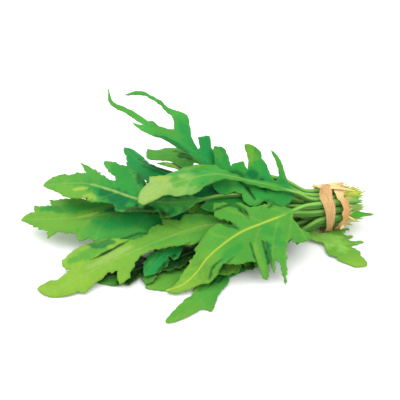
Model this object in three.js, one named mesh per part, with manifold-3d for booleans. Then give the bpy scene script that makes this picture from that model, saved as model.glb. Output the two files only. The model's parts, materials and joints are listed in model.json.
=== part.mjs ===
// Arugula bunch: 24 lobed leaves tied with a band of raffia, lying on a flat surface.
// Millimetres, +Z up. The leaves fan out towards -X, the cut stems point to +X, and -Y is the
// front. At the end the bunch is moved so that its origin is the middle of the flat spot under
// the tie.

import * as THREE from "three";
import Module from "manifold-3d";

const wasm = await Module();
wasm.setup();

// Stems and how they are packed in the tie
const STEM_RADIUS = 2.2;
const STEM_PITCH = 4.8;
const ROW_RISE = 4.16;
const ROW_COUNTS = [4, 5, 6, 5, 4];
const STRAIGHT = [8, -2, -12];
const TAPER_FROM = 30;
const CUT_SPLAY = 0.2;
const CURVE_STEPS = 24;
const STEM_EDGE = 0.5;

// Raffia tie
const TIE_CLEARANCE = 0.35;
const TIE_THICK = 1.4;
const TIE_SIDES = 44;
const TIE_X = -7.5;
const TIE_COLOUR = 0xd9ae6b;
const WRAP_HALF_WIDTH = 14.65;
const WRAP_HALF_HEIGHT = 11.95;
const WRAP_POWER = 2.4;

// The band and its second turn, as rows of [angle from the back over the top, middle in x, half
// the width], and the pleats across each as [share of half the width, depth of the groove]
const BAND = [[0, -4.5, 4], [65, -3.2, 4.2], [112, -7.6, 4.1], [128, -7.4, 3.7], [178, -7.5, 2.8],
  [192, -7.4, 2.2], [215, -7.4, 2.2], [240, TIE_X, 3.2], [300, TIE_X, 3.6], [360, -4.5, 4]];
const BAND_PLEATS = [[-1, 0.5], [-0.7, 0], [-0.35, 0.5], [0, 0], [0.35, 0.5], [0.7, 0], [1, 0.5]];
const TURN = [[0, 2, 2], [65, 4, 4.5], [90, 3.3, 3.5], [115, 1.6, 2.2], [128, 3.2, 2.4],
  [150, 3.4, 1.9], [163, 2.4, 2.3], [178, 2.9, 1.9], [192, 0.7, 1.8], [215, -1, 1.5],
  [300, -1, 1.6], [360, 2, 2]];
const TURN_PLEATS = [[-1, 0.3], [-0.3, 0], [0.4, 0.1], [1, 0.4]];
const TURN_THICK = 0.9;
const FLAT_FROM = 0.75;
const FLAT_TO = 0.95;
const STRAND_THICK = 0.9;
const STRAND_STEPS = 4;
const STRAND_SIDE = [0.2, -0.3, 1];
const STRANDS = [
  [[-6.5, 5.5, 24.9, 1.3], [-9, 6, 25.6, 1.2], [-11, 6.4, 26.4, 1.1], [-12, 6.4, 25.9, 1],
    [-11.4, 6.2, 25.2, 0.9]],
  [[-2, 2.5, 25.4, 1.2], [2, 0, 26.4, 1.1], [5.5, -2.2, 26.6, 0.9], [9, -4.4, 26.4, 0.6],
    [12, -6, 25.8, 0.4]],
  [[4, -15.4, 14.5, 0.8], [6.4, -17, 13.4, 0.8], [8.6, -17.6, 12, 0.4]],
  [[1.5, -15.2, 8.6, 0.8], [0.4, -16.2, 7.4, 1.1], [-0.9, -16, 6.3, 1], [-0.2, -15.4, 5.4, 0.6]],
];
const REST_HEIGHT = STEM_RADIUS + TIE_CLEARANCE + TIE_THICK;
const PACK_HALF_HEIGHT = ROW_RISE * (ROW_COUNTS.length - 1) / 2;
const PACK_MIDDLE = REST_HEIGHT + PACK_HALF_HEIGHT;

// Blades
const HALF_BLADE = 0.35;
const STEM_STEP = 9;
const RIB_STEP = 7;
const RIB_END_GAP = 3;
const RIB_END_RADIUS = 0.45;
const BLADE_RIB_RADIUS = 1.3;
const RIB_SIDE = 0.866;
const RIDGE = 0.2;
const KEEL = 0.7;
const FLATTEN_LENGTH = 12;
const EDGE_STEP = 9;
const EDGE_BULGE = 0.5;
const INNER_STEP = 8.5;
const INNER_MARGIN = 2.8;
const INNER_STRAY = 0.6;
const INNER_ROW_SHARE = 0.8;
const EVEN_PASSES = 30;
const SLIVER = 0.001;
const WAVE_LENGTH = 27;
const CURL_WIDTH = 20;

// Laying each leaf on the ones below
const PILE_CELL = 0.5;
const PILE_LOW = [-230, -100];
const PILE_SIZE = [290, 210];
const LEAF_CELL = 2;
const LEAF_HALF_SPAN = 50;
const SOFT_ALONG = 14;
const SOFT_ACROSS = 10;
const SOFT_START = 14;
const SOFT_GROWTH = 0.5;
const LEAF_GAP = 0.6;
const LAY_PASSES = 16;
const LAID_WELL = 0.02;
const SAMPLE_STEP = 0.45;

// Seeded numbers between 0 and 1, the same on every run
function randomFrom(seed) {
  let state = seed;
  return () => {
    state = (state * 1664525 + 1013904223) % 4294967296;
    return state / 4294967296;
  };
}

// The edge of a blade that has like lobes and a head, each lobe a little different:
// [share of the blade, width from the rib] from the foot to the tip
function lobedEdge(seed, count, reach, head) {
  const random = randomFrom(seed);
  const spacing = 0.64 / count;
  const neck = 0.25 * reach;
  const points = [[0.04, 1]];
  for (let i = 0; i < count; i += 1) {
    const start = 0.06 + spacing * (i + 0.1 + 0.1 * random());
    const out = reach * (0.75 + 0.25 * (i + random()) / count);
    const step = spacing * (0.62 + 0.1 * random());
    points.push([start, neck], [start + 0.35 * step, 0.75 * out], [start + 0.8 * step, out],
      [start + 1.05 * step, 0.9 * out], [start + step, neck]);
  }
  const wobble = 0.9 + 0.2 * random();
  points.push([0.72, 0.8 * head], [0.78, head], [0.81, 0.75 * head], [0.86, 0.8 * head * wobble],
    [0.93, 0.45 * head]);
  return points;
}

// Leaves, from the bottom of the pile to its top. A slot is the row in the tie and the place in
// the row, counted from the front. A path holds the midrib's points from the tie to the tip.
// Roll is at the blade's foot and tip; fold and curl are to the front and the back, in degrees.
// Front and back are the blade's two edges: [share of the blade, width from the rib].
const LEAVES = [
  {
    name: "leaf_side_curl", slot: [0, 0], cut: 11, blade: 17, colour: 0x9fc24a,
    path: [[-15, -8.4, 3.7], [-17, -11.5, 3.2], [-15.5, -16.5, 2.6], [-9.5, -23.5, 2], [-4, -32, 1.4],
      [4, -48.5, 0.5]],
    roll: [0, 0], fold: [3, 3], curl: [0, 0], wave: 0.5,
    front: [[0.05, 2], [0.13, 4.5], [0.21, 8], [0.28, 11], [0.34, 16.6], [0.39, 20],
      [0.38, 16], [0.38, 13], [0.42, 12], [0.5, 16], [0.46, 10.5], [0.49, 9.6], [0.56, 12],
      [0.65, 17], [0.61, 10.5], [0.58, 7], [0.62, 5.8], [0.7, 6.2], [0.78, 6.4], [0.76, 4.4],
      [0.84, 3.6], [0.9, 3], [0.96, 2.4]],
    back: [[0.06, 4.5], [0.14, 4.5], [0.2, 3], [0.27, 2], [0.36, 5.2], [0.43, 8.2], [0.51, 9.6],
      [0.6, 8], [0.66, 9], [0.74, 8.4], [0.82, 7], [0.91, 6], [0.96, 3.5]],
  },
  {
    name: "leaf_low_front", slot: [0, 1], cut: 10, blade: 50, colour: 0x6fa52c,
    path: [[-30, -8, 3], [-56, -20, 2], [-80, -33, 1.5], [-91, -42, 1.2], [-106, -54, 0.8],
      [-126, -67, 0.2]],
    roll: [0, 0], fold: [3, 3], curl: [0, 0], wave: 0.8,
    front: [[0.06, 3], [0.13, 8], [0.21, 9.5], [0.28, 6], [0.35, 6], [0.43, 3.6], [0.49, 6],
      [0.56, 6.2], [0.62, 7.2], [0.69, 10], [0.75, 12.4], [0.75, 9], [0.77, 6.2], [0.83, 5.6],
      [0.92, 3.6], [0.98, 1.2]],
    back: [[0.05, 2], [0.1, 7], [0.2, 13], [0.25, 12], [0.24, 6], [0.3, 6], [0.38, 12], [0.44, 12],
      [0.45, 7], [0.56, 8], [0.58, 6.6], [0.66, 6.8], [0.68, 4.8], [0.72, 4.4], [0.77, 5.8],
      [0.79, 4.6], [0.85, 4.4], [0.88, 3.4], [0.94, 2.6], [0.98, 1.8]],
  },
  {
    name: "leaf_floor_pale", slot: [0, 2], cut: 12, blade: 62, colour: 0x7fb136,
    path: [[-40, -4, 3], [-83, -16, 3], [-110, -30, 2], [-131, -34, 0.4]],
    roll: [0, 0], fold: [3, 3], curl: [0, 0], wave: 0.6,
    front: lobedEdge(11, 3, 13, 9),
    back: lobedEdge(12, 3, 14, 10),
  },
  {
    name: "leaf_floor_dark", slot: [0, 3], cut: 14, blade: 84, colour: 0x3f7a2a,
    path: [[-40, 3, 3], [-84, -4, 3.5], [-124, -17, 2.5], [-158, -21, 0.4]],
    roll: [0, 0], fold: [3, 3], curl: [0, 0], wave: 0.6,
    front: lobedEdge(13, 3, 15, 10),
    back: lobedEdge(14, 3, 16, 10),
  },
  {
    name: "leaf_rear_low", slot: [1, 4], cut: 12, blade: 42, colour: 0x5a9a33,
    path: [[-28, 14, 6], [-56, 28, 4], [-84, 42, 2], [-106, 52, 0.2]],
    roll: [0, 0], fold: [4, 4], curl: [4, 4], wave: 0.8,
    front: lobedEdge(29, 3, 15, 10),
    back: lobedEdge(30, 3, 16, 11),
  },
  {
    name: "leaf_rear_floor", slot: [1, 3], cut: 14, blade: 55, colour: 0x4f8f2f,
    path: [[-36, 10, 7], [-72, 20, 5], [-106, 28, 3], [-132, 32, 0.6]],
    roll: [0, 0], fold: [4, 4], curl: [4, 4], wave: 0.8,
    front: lobedEdge(27, 3, 15, 10),
    back: lobedEdge(28, 4, 16, 10),
  },
  {
    name: "leaf_under_left", slot: [1, 0], cut: 15, blade: 40, colour: 0x4c8a2c,
    path: [[-28, -14, 7], [-50, -22, 6.5], [-72, -29, 5.5], [-90, -36, 4]],
    roll: [0, 0], fold: [5, 5], curl: [5, 5], wave: 0.8,
    front: lobedEdge(21, 2, 11.5, 8),
    back: lobedEdge(22, 3, 14, 9),
  },
  {
    name: "leaf_under_middle", slot: [1, 1], cut: 16, blade: 58, colour: 0x3f7d2b,
    path: [[-40, -10, 8], [-75, -13, 8], [-104, -18, 6.5], [-124, -22, 4]],
    roll: [0, 0], fold: [5, 5], curl: [5, 5], wave: 0.8,
    front: lobedEdge(23, 3, 13, 8),
    back: lobedEdge(24, 3, 14, 9),
  },
  {
    name: "leaf_strip", slot: [1, 2], cut: 12, blade: 78, colour: 0x2f6b2c,
    path: [[-40, -3, 10], [-74, -5, 13], [-96, -8, 13], [-112, -14, 10], [-130, -28, 4]],
    roll: [8, 8], fold: [6, 4], curl: [0, 0], wave: 0.6,
    front: lobedEdge(33, 2, 9, 7),
    back: lobedEdge(34, 2, 10, 7),
  },
  {
    name: "leaf_rear_right", slot: [2, 5], cut: 10, blade: 34, colour: 0x5a9a33,
    path: [[-24, 18, 13], [-44, 30, 13], [-62, 42, 8], [-76, 52, 2]],
    roll: [-8, -8], fold: [6, 6], curl: [8, 8], wave: 0.8,
    front: lobedEdge(39, 3, 12, 9),
    back: lobedEdge(40, 3, 13, 9),
  },
  {
    name: "leaf_rear_middle", slot: [2, 4], cut: 13, blade: 52, colour: 0x478a30,
    path: [[-34, 11, 13], [-66, 23, 13], [-94, 34, 9], [-116, 42, 3]],
    roll: [-6, -6], fold: [6, 6], curl: [6, 6], wave: 0.8,
    front: lobedEdge(37, 3, 14, 10),
    back: lobedEdge(38, 3, 15, 10),
  },
  {
    name: "leaf_under_right", slot: [2, 0], cut: 20, blade: 26, colour: 0x4c8a2c,
    path: [[-24, -16, 12], [-38, -23, 12], [-52, -30, 9.5], [-64, -37, 5]],
    roll: [10, 10], fold: [8, 8], curl: [8, 8], wave: 0.6,
    front: lobedEdge(31, 2, 9, 6),
    back: lobedEdge(32, 3, 10, 7),
  },
  {
    name: "leaf_shade", slot: [2, 3], cut: 14, blade: 42, colour: 0x23521f,
    path: [[-38, 4, 13], [-70, 7, 16], [-96, 10, 18], [-118, 17, 17]],
    roll: [6, 4], fold: [6, 2], curl: [4, 4], wave: 0.8,
    front: lobedEdge(25, 3, 15, 10),
    back: lobedEdge(26, 3, 15, 10),
  },
  {
    name: "leaf_wide_low", slot: [2, 2], cut: 18, blade: 78, colour: 0x5f9c33,
    path: [[-38, -2, 18], [-68, 3, 22], [-107, 13, 23], [-123, 18, 21], [-146, 23, 17],
      [-160, 27, 14.5], [-195, 40.5, 10]],
    roll: [12, 6], fold: [4, -4], curl: [4, 0], wave: 1,
    front: [[0.05, 2], [0.1, 8], [0.2, 13], [0.23, 11], [0.22, 7], [0.28, 13], [0.34, 21], [0.43, 24],
      [0.51, 22.4], [0.57, 19.6], [0.6, 20.6], [0.64, 16.4], [0.68, 18.6], [0.7, 12],
      [0.74, 10.6], [0.79, 10.2], [0.83, 15.4], [0.84, 9.4], [0.89, 7], [0.94, 3.6], [0.97, 2]],
    back: [[0.05, 2], [0.08, 8], [0.18, 15], [0.2, 8], [0.28, 10], [0.36, 18], [0.42, 20],
      [0.43, 11], [0.52, 13], [0.62, 20], [0.66, 19], [0.67, 15], [0.73, 16], [0.8, 16.5],
      [0.88, 18], [0.86, 12], [0.92, 11], [0.95, 11.5], [0.94, 6.5], [0.98, 3]],
  },
  {
    name: "leaf_inner_fill", slot: [2, 1], cut: 17, blade: 32, colour: 0x4f9a38,
    path: [[-30, -7, 15], [-48, -7, 20], [-66, -5, 24], [-81, -4, 24], [-94, -8, 22]],
    roll: [10, 8], fold: [8, 4], curl: [6, 2], wave: 0.8,
    front: lobedEdge(41, 3, 14, 9),
    back: lobedEdge(42, 3, 15, 10),
  },
  {
    name: "leaf_long_pale", slot: [3, 0], cut: 15, blade: 60, colour: 0x8fc140,
    path: [[-34, -12, 21], [-70, -14, 23], [-92, -12, 22], [-116, -12, 17], [-142, -15, 11],
      [-161, -18, 6], [-180, -22, 2.5], [-193, -19, 1]],
    roll: [14, 4], fold: [8, -4], curl: [4, 0], wave: 1,
    front: [[0.04, 2], [0.1, 8], [0.2, 13], [0.22, 8], [0.28, 9.8], [0.34, 7.8], [0.4, 6], [0.48, 3.6],
      [0.53, 4], [0.57, 8], [0.6, 12], [0.62, 15.6], [0.67, 16], [0.65, 7], [0.69, 5], [0.74, 7], [0.79, 9],
      [0.83, 10.5], [0.84, 7.5], [0.9, 7], [0.96, 5]],
    back: [[0.05, 3], [0.16, 6], [0.24, 10], [0.29, 11], [0.31, 8.5], [0.38, 14], [0.38, 9.5],
      [0.43, 12], [0.46, 7], [0.52, 7.5], [0.56, 10], [0.62, 17], [0.67, 19.6], [0.73, 19.8],
      [0.77, 19.2], [0.83, 17.6], [0.84, 14], [0.82, 8.5], [0.89, 5.5], [0.96, 4.5]],
  },
  {
    name: "leaf_inner_tip", slot: [3, 1], cut: 16, blade: 36, colour: 0x3f8a34,
    path: [[-34, -5, 23], [-56, -5, 28], [-74, -3, 29], [-88, 0, 28]],
    roll: [6, 4], fold: [6, 2], curl: [4, 2], wave: 0.6,
    front: [[0.1, 4], [0.28, 5], [0.42, 11], [0.5, 9], [0.62, 6], [0.8, 5], [0.93, 3]],
    back: [[0.04, 4], [0.12, 12], [0.28, 20], [0.43, 25], [0.64, 27], [0.76, 24], [0.8, 16],
      [0.86, 8], [0.95, 3]],
  },
  {
    name: "leaf_dark_back", slot: [3, 4], cut: 8, blade: 66, colour: 0x1f6a30,
    path: [[-34, 13, 22], [-62, 15, 27], [-83, 20, 30], [-104, 38, 33], [-115, 52, 33],
      [-121, 72, 33.5]],
    roll: [0, 0], fold: [8, 8], curl: [4, 4], wave: 0.8,
    front: [[0.05, 2], [0.12, 8], [0.22, 14], [0.26, 13], [0.25, 7], [0.36, 10], [0.44, 15],
      [0.48, 14], [0.53, 14], [0.6, 11], [0.67, 9.4], [0.75, 10], [0.78, 7.5], [0.83, 5],
      [0.88, 2.6], [0.95, 2]],
    back: [[0.05, 2], [0.14, 8], [0.24, 14], [0.27, 12], [0.27, 6], [0.34, 7], [0.42, 8.5],
      [0.46, 5.5], [0.55, 3.6], [0.61, 2.3], [0.68, 3.2], [0.77, 6.1], [0.86, 5.6], [0.94, 4.4]],
  },
  {
    name: "leaf_wide_back", slot: [3, 2], cut: 15, blade: 88, colour: 0x55a03a,
    path: [[-36, 0, 25], [-69, 2, 30], [-109, 4, 32.5], [-123, 11, 32.5], [-139, 27, 32],
      [-150, 38, 31], [-178, 52, 26]],
    roll: [8, 4], fold: [4, -6], curl: [4, 0], wave: 1,
    front: [[0.05, 2], [0.12, 7], [0.22, 12], [0.24, 7], [0.34, 8], [0.44, 13], [0.47, 9],
      [0.56, 11], [0.62, 13], [0.66, 10.5], [0.75, 13], [0.83, 12], [0.86, 10], [0.88, 7.6],
      [0.93, 4.6], [0.98, 1.6]],
    back: [[0.04, 2], [0.08, 8], [0.2, 18], [0.24, 15], [0.22, 8], [0.34, 10], [0.44, 17],
      [0.52, 21], [0.59, 22.5], [0.65, 21.3], [0.71, 21.4], [0.7, 17.6], [0.65, 13.2],
      [0.61, 12], [0.58, 9], [0.59, 6.8], [0.63, 7.2], [0.69, 9.8], [0.75, 14.2], [0.81, 19.6],
      [0.79, 14.6], [0.76, 8.8], [0.8, 9.8], [0.84, 7.6], [0.88, 7.8], [0.93, 7.4],
      [0.97, 5.4]],
  },
  {
    name: "leaf_flat_tip", slot: [3, 3], cut: 11, blade: 60, colour: 0x6fae46,
    path: [[-34, 7, 24], [-60, 22, 31], [-78, 36, 38], [-91, 41, 41], [-111.5, 46, 41]],
    roll: [0, 0], fold: [4, 4], curl: [0, 0], wave: 0.5,
    front: [[0.1, 1], [0.22, 3], [0.34, 9], [0.38, 8], [0.38, 3], [0.52, 3.5], [0.56, 12],
      [0.64, 14.8], [0.72, 14.2], [0.81, 11.4], [0.9, 8], [0.82, 8.2], [0.76, 8.6], [0.71, 6.4],
      [0.79, 5.8], [0.9, 5], [0.96, 3.6], [0.99, 2.2]],
    back: [[0.1, 1], [0.2, 4], [0.3, 10], [0.35, 9], [0.36, 3.5], [0.5, 5], [0.6, 9], [0.72, 9.5],
      [0.88, 8], [0.99, 8.4]],
  },
  {
    name: "leaf_tendril", slot: [4, 3], cut: 13, blade: 68, colour: 0x2f8a3a,
    path: [[-30, 9, 25.5], [-52, 15, 31.5], [-66, 20, 36.8], [-78, 24, 45], [-88, 26, 55],
      [-99, 32, 63], [-110, 37, 68], [-120, 47, 73], [-130, 60, 76], [-130, 66, 81.5]],
    roll: [0, 0], fold: [10, -35], curl: [0, 0], wave: 0.3,
    front: [[0.06, 3], [0.2, 4], [0.32, 4.6], [0.41, 5.2], [0.52, 6], [0.6, 7], [0.64, 6],
      [0.69, 5.4], [0.65, 3.4], [0.63, 1.8], [0.72, 1.4], [0.86, 1.1]],
    back: [[0.04, 2.5], [0.11, 3], [0.18, 10.2], [0.22, 16.6], [0.26, 13.8], [0.3, 9.2],
      [0.25, 5.6], [0.26, 3], [0.31, 4.4], [0.36, 7.1], [0.4, 12], [0.44, 16.6], [0.47, 16.6],
      [0.51, 15.6], [0.54, 16.2], [0.6, 17], [0.67, 17.1], [0.73, 16.3], [0.78, 14.6],
      [0.82, 12], [0.86, 8.8], [0.81, 10.8], [0.77, 12.8], [0.73, 14.4], [0.68, 15.2],
      [0.6, 15], [0.55, 13.6], [0.5, 11.6], [0.47, 7.2], [0.46, 3.8], [0.49, 2.3], [0.55, 1.8],
      [0.58, 2.4], [0.61, 3.2], [0.62, 1.8], [0.72, 1.3], [0.86, 1.1]],
  },
  {
    name: "leaf_comb_back", slot: [4, 2], cut: 18, blade: 28, colour: 0x2f9040,
    path: [[-26, 3, 26.5], [-45, 5, 33.5], [-60, 9, 37.5], [-80, 15, 38.5]],
    roll: [0, 0], fold: [16, -40], curl: [8, -6], wave: 0.6,
    front: [[0.02, 6], [0.08, 11], [0.2, 15.5], [0.3, 18], [0.33, 13], [0.36, 12.5], [0.42, 17],
      [0.5, 17.5], [0.57, 15], [0.6, 10], [0.68, 9], [0.8, 12], [0.88, 10], [0.95, 5]],
    back: [[0.03, 2], [0.06, 2.2], [0.13, 9.6], [0.23, 17.6], [0.34, 23.2], [0.27, 16], [0.21, 10],
      [0.19, 5.6], [0.21, 2], [0.24, 1.2], [0.29, 5], [0.34, 10], [0.4, 14], [0.44, 15.6],
      [0.46, 19.6], [0.5, 21.2], [0.55, 22.2], [0.6, 22.6], [0.63, 21.6], [0.6, 16.6],
      [0.57, 12], [0.56, 6.6], [0.6, 8.6], [0.62, 11.2], [0.67, 10], [0.73, 9], [0.74, 7],
      [0.76, 11], [0.79, 15.6], [0.82, 19], [0.88, 20.6], [0.92, 20], [0.94, 18], [0.92, 13],
      [0.91, 8], [0.95, 6]],
  },
  {
    name: "leaf_arch", slot: [4, 1], cut: 19, blade: 36, colour: 0x57a83e,
    path: [[-30, -2, 29.5], [-55, 3, 39], [-77, 5, 47], [-97, 3, 47.5], [-112, 3, 44], [-126, 2, 37]],
    roll: [8, 6], fold: [10, 2], curl: [6, 4], wave: 0.8,
    front: [[0.03, 1.8], [0.1, 2.4], [0.2, 2.2], [0.29, 1.4], [0.36, 1.4], [0.43, 2.6],
      [0.48, 4.6], [0.54, 6.6], [0.59, 7.8], [0.64, 10.4], [0.68, 11], [0.7, 9], [0.75, 9.5],
      [0.81, 5.5], [0.84, 5], [0.89, 4.6], [0.94, 4], [0.98, 3]],
    back: [[0.03, 2], [0.12, 2.6], [0.22, 2], [0.3, 1.6], [0.36, 3], [0.42, 6], [0.46, 9],
      [0.54, 11], [0.6, 12], [0.66, 12], [0.73, 10], [0.79, 9.5], [0.84, 11.5], [0.865, 14.5],
      [0.88, 10], [0.95, 7.5], [0.98, 4]],
  },
  {
    name: "leaf_top_front", slot: [4, 0], cut: 15, blade: 36, colour: 0x7cbb3c,
    path: [[-29, -14, 26], [-43, -20, 26.5], [-55, -23, 26], [-71, -27, 24.5], [-82, -31, 21.5],
      [-93, -34, 15], [-101, -38, 8.5], [-109, -41, 4.5], [-121, -41.5, 2]],
    roll: [18, 12], fold: [14, -4], curl: [6, -4], wave: 0.8,
    front: [[0.02, 1.5], [0.05, 4.5], [0.045, 11], [0.02, 19.4], [0.045, 21.2], [0.09, 18.4],
      [0.115, 13.4], [0.155, 16.4], [0.205, 27.6], [0.25, 35.6], [0.27, 39.8], [0.265, 35],
      [0.25, 26], [0.27, 22.8], [0.285, 26], [0.31, 30.6], [0.31, 25], [0.3, 17], [0.29, 9],
      [0.31, 17], [0.32, 23], [0.36, 29.8], [0.41, 31.4], [0.44, 29.2], [0.42, 23.6], [0.415, 20],
      [0.43, 18.5], [0.45, 17.5], [0.48, 16.5], [0.53, 15.5], [0.575, 12], [0.61, 8.5], [0.675, 9.5],
      [0.755, 9.8], [0.8, 6.4], [0.845, 4.8], [0.89, 3.8], [0.945, 3]],
    back: [[0.02, 3], [0.05, 7], [0.15, 10], [0.215, 11], [0.26, 12.5], [0.315, 20], [0.31, 15],
      [0.305, 5.5], [0.325, 12], [0.35, 19], [0.385, 23], [0.43, 23.2], [0.46, 16], [0.415, 11],
      [0.385, 5], [0.415, 7], [0.485, 12.5], [0.55, 12.5], [0.61, 11], [0.665, 9], [0.685, 6.4],
      [0.72, 7], [0.765, 6.2], [0.855, 5], [0.89, 3.4], [0.935, 1.4]],
  },
];

// Smooth step from 0 at low to 1 at high
function ease(low, high, value) {
  const t = Math.min(1, Math.max(0, (value - low) / (high - low)));
  return t * t * (3 - 2 * t);
}

// Middle of a slot in the tie, as [y, z]
function slotPlace([row, place]) {
  const y = (place - (ROW_COUNTS[row] - 1) / 2) * STEM_PITCH;
  return [y, REST_HEIGHT + ROW_RISE * row];
}

// The midrib as a smooth curve with places evenly spaced along it
function midrib(leaf) {
  const [y, z] = slotPlace(leaf.slot);
  const cutY = y * (1 + CUT_SPLAY);
  const cutZ = z + (z - PACK_MIDDLE) * CUT_SPLAY;
  const knots = [[leaf.cut, cutY, cutZ], ...STRAIGHT.map((x) => [x, y, z]), ...leaf.path]
    .map((p) => new THREE.Vector3(...p));
  const spans = knots.slice(1).map((p, i) => p.distanceTo(knots[i]));
  const slopes = knots.map((p, i) => {
    if (i === 0) return knots[1].clone().sub(p).divideScalar(spans[0]);
    const before = p.clone().sub(knots[i - 1]).divideScalar(spans[i - 1]);
    if (i === knots.length - 1) return before;
    const after = knots[i + 1].clone().sub(p).divideScalar(spans[i]);
    const weight = spans[i - 1] / (spans[i - 1] + spans[i]);
    return before.multiplyScalar(1 - weight).addScaledVector(after, weight);
  });
  const points = [knots[0].clone()];
  const lengths = [0];
  for (let i = 0; i < spans.length; i += 1) {
    for (let j = 1; j <= CURVE_STEPS; j += 1) {
      const t = j / CURVE_STEPS;
      const p = new THREE.Vector3()
        .addScaledVector(knots[i], 2 * t ** 3 - 3 * t ** 2 + 1)
        .addScaledVector(slopes[i], (t ** 3 - 2 * t ** 2 + t) * spans[i])
        .addScaledVector(knots[i + 1], 3 * t ** 2 - 2 * t ** 3)
        .addScaledVector(slopes[i + 1], (t ** 3 - t ** 2) * spans[i]);
      lengths.push(lengths.at(-1) + p.distanceTo(points.at(-1)));
      points.push(p);
    }
  }
  const total = lengths.at(-1);
  const pointAt = (s) => {
    let i = 1;
    while (i < lengths.length - 1 && lengths[i] < s) i += 1;
    const t = (s - lengths[i - 1]) / (lengths[i] - lengths[i - 1]);
    return points[i - 1].clone().lerp(points[i], t);
  };
  return { total, pointAt, bladeStart: leaf.cut + leaf.blade };
}

// Radius of the stem and rib at a distance from the cut end
function ribRadius(rib, s) {
  if (s < rib.bladeStart) {
    const share = ease(TAPER_FROM, rib.bladeStart, s);
    return STEM_RADIUS + (BLADE_RIB_RADIUS - STEM_RADIUS) * share;
  }
  const share = ((s - rib.bladeStart) / (rib.total - rib.bladeStart)) ** 1.5;
  return BLADE_RIB_RADIUS + (RIB_END_RADIUS - BLADE_RIB_RADIUS) * share;
}

// Place of the blade's middle surface, from the distance along and the distance across
function surfacePlace(leaf, rib, s, across) {
  const centre = rib.pointAt(s);
  const along = rib.pointAt(Math.min(rib.total, s + 1)).sub(rib.pointAt(Math.max(0, s - 1)));
  along.normalize();
  const level = new THREE.Vector3(-along.y, along.x, 0).normalize();
  const upright = along.clone().cross(level);
  const share = Math.max(0, (s - rib.bladeStart) / (rib.total - rib.bladeStart));
  const open = ease(rib.bladeStart - FLATTEN_LENGTH, rib.bladeStart + FLATTEN_LENGTH, s);
  const roll = THREE.MathUtils.degToRad(
    (leaf.roll[0] + (leaf.roll[1] - leaf.roll[0]) * share) * open);
  const side = level.clone().multiplyScalar(Math.cos(roll)).addScaledVector(upright, -Math.sin(roll));
  const normal = upright.multiplyScalar(Math.cos(roll)).addScaledVector(level, Math.sin(roll));
  const which = across > 0 ? 0 : 1;
  const width = Math.abs(across);
  const bend = THREE.MathUtils.degToRad(
    (leaf.fold[which] + leaf.curl[which] * width / CURL_WIDTH) * open);
  const wave = leaf.wave * (width / CURL_WIDTH) ** 1.5
    * Math.sin(2 * Math.PI * s / WAVE_LENGTH + which * 2 + leaf.cut);
  return centre
    .addScaledVector(side, across * Math.cos(bend))
    .addScaledVector(normal, wave - width * Math.sin(bend));
}

// One side of the blade's outline from foot to tip, as [along, width] pairs
function sideOutline(leaf, rib, which) {
  const bladeLength = rib.total - rib.bladeStart;
  const edge = which === 0 ? leaf.front : leaf.back;
  const corners = edge.map(([share, width]) => {
    const s = rib.bladeStart + share * bladeLength;
    return [s, width + RIB_SIDE * RIB_END_RADIUS];
  });
  const points = [];
  let from = [rib.bladeStart, RIB_SIDE * BLADE_RIB_RADIUS];
  for (const to of [...corners, [rib.total, 0]]) {
    const length = Math.hypot(to[0] - from[0], to[1] - from[1]);
    const count = Math.round(length / EDGE_STEP);
    for (let i = 1; i < count; i += 1) {
      const t = i / count;
      const bulge = EDGE_BULGE * Math.sin(Math.PI * t);
      points.push([from[0] + (to[0] - from[0]) * t - bulge * (to[1] - from[1]) / length,
        from[1] + (to[1] - from[1]) * t + bulge * (to[0] - from[0]) / length]);
    }
    points.push(to);
    from = to;
  }
  points.pop();
  return points;
}

// Twice the signed area of the flat triangle a, b, c
function doubleArea(a, b, c) {
  return (b[0] - a[0]) * (c[1] - a[1]) - (c[0] - a[0]) * (b[1] - a[1]);
}

// True if d lies inside the circle through a, b and c
function inCircle(a, b, c, d) {
  const rows = [a, b, c].map((p) => {
    const [x, y] = [p[0] - d[0], p[1] - d[1]];
    return [x, y, x * x + y * y];
  });
  const minor = (p, q) => p[0] * q[1] - p[1] * q[0];
  const value = rows[0][2] * minor(rows[1], rows[2]) - rows[1][2] * minor(rows[0], rows[2])
    + rows[2][2] * minor(rows[0], rows[1]);
  return value > 1e-6;
}

// Split the flat triangle round a spot into three
function splitRound(spots, triangles, v) {
  const index = triangles.findIndex((t) => t.every((corner, k) => {
    const next = t[(k + 1) % 3];
    return doubleArea(spots[corner], spots[next], spots[v]) > 0;
  }));
  const [a, b, c] = triangles[index];
  triangles.splice(index, 1, [a, b, v], [b, c, v], [c, a, v]);
}

// Swap diagonals until the flat triangles are as even as they can be
function evenOut(spots, triangles) {
  for (let pass = 0; pass < EVEN_PASSES; pass += 1) {
    const owner = new Map();
    triangles.forEach((t, index) => t.forEach((v, k) => owner.set(v + "," + t[(k + 1) % 3], index)));
    let swaps = 0;
    const touched = new Set();
    for (const [key, first] of owner) {
      const [a, b] = key.split(",").map(Number);
      const second = owner.get(b + "," + a);
      if (second === undefined || touched.has(first) || touched.has(second)) continue;
      const c = triangles[first].find((v) => v !== a && v !== b);
      const d = triangles[second].find((v) => v !== a && v !== b);
      const [A, B, C, D] = [a, b, c, d].map((v) => spots[v]);
      if (!inCircle(A, B, C, D)) continue;
      if (doubleArea(A, D, C) < SLIVER || doubleArea(D, B, C) < SLIVER) continue;
      triangles[first] = [a, d, c];
      triangles[second] = [d, b, c];
      touched.add(first).add(second);
      swaps += 1;
    }
    if (!swaps) return;
  }
}

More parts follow.
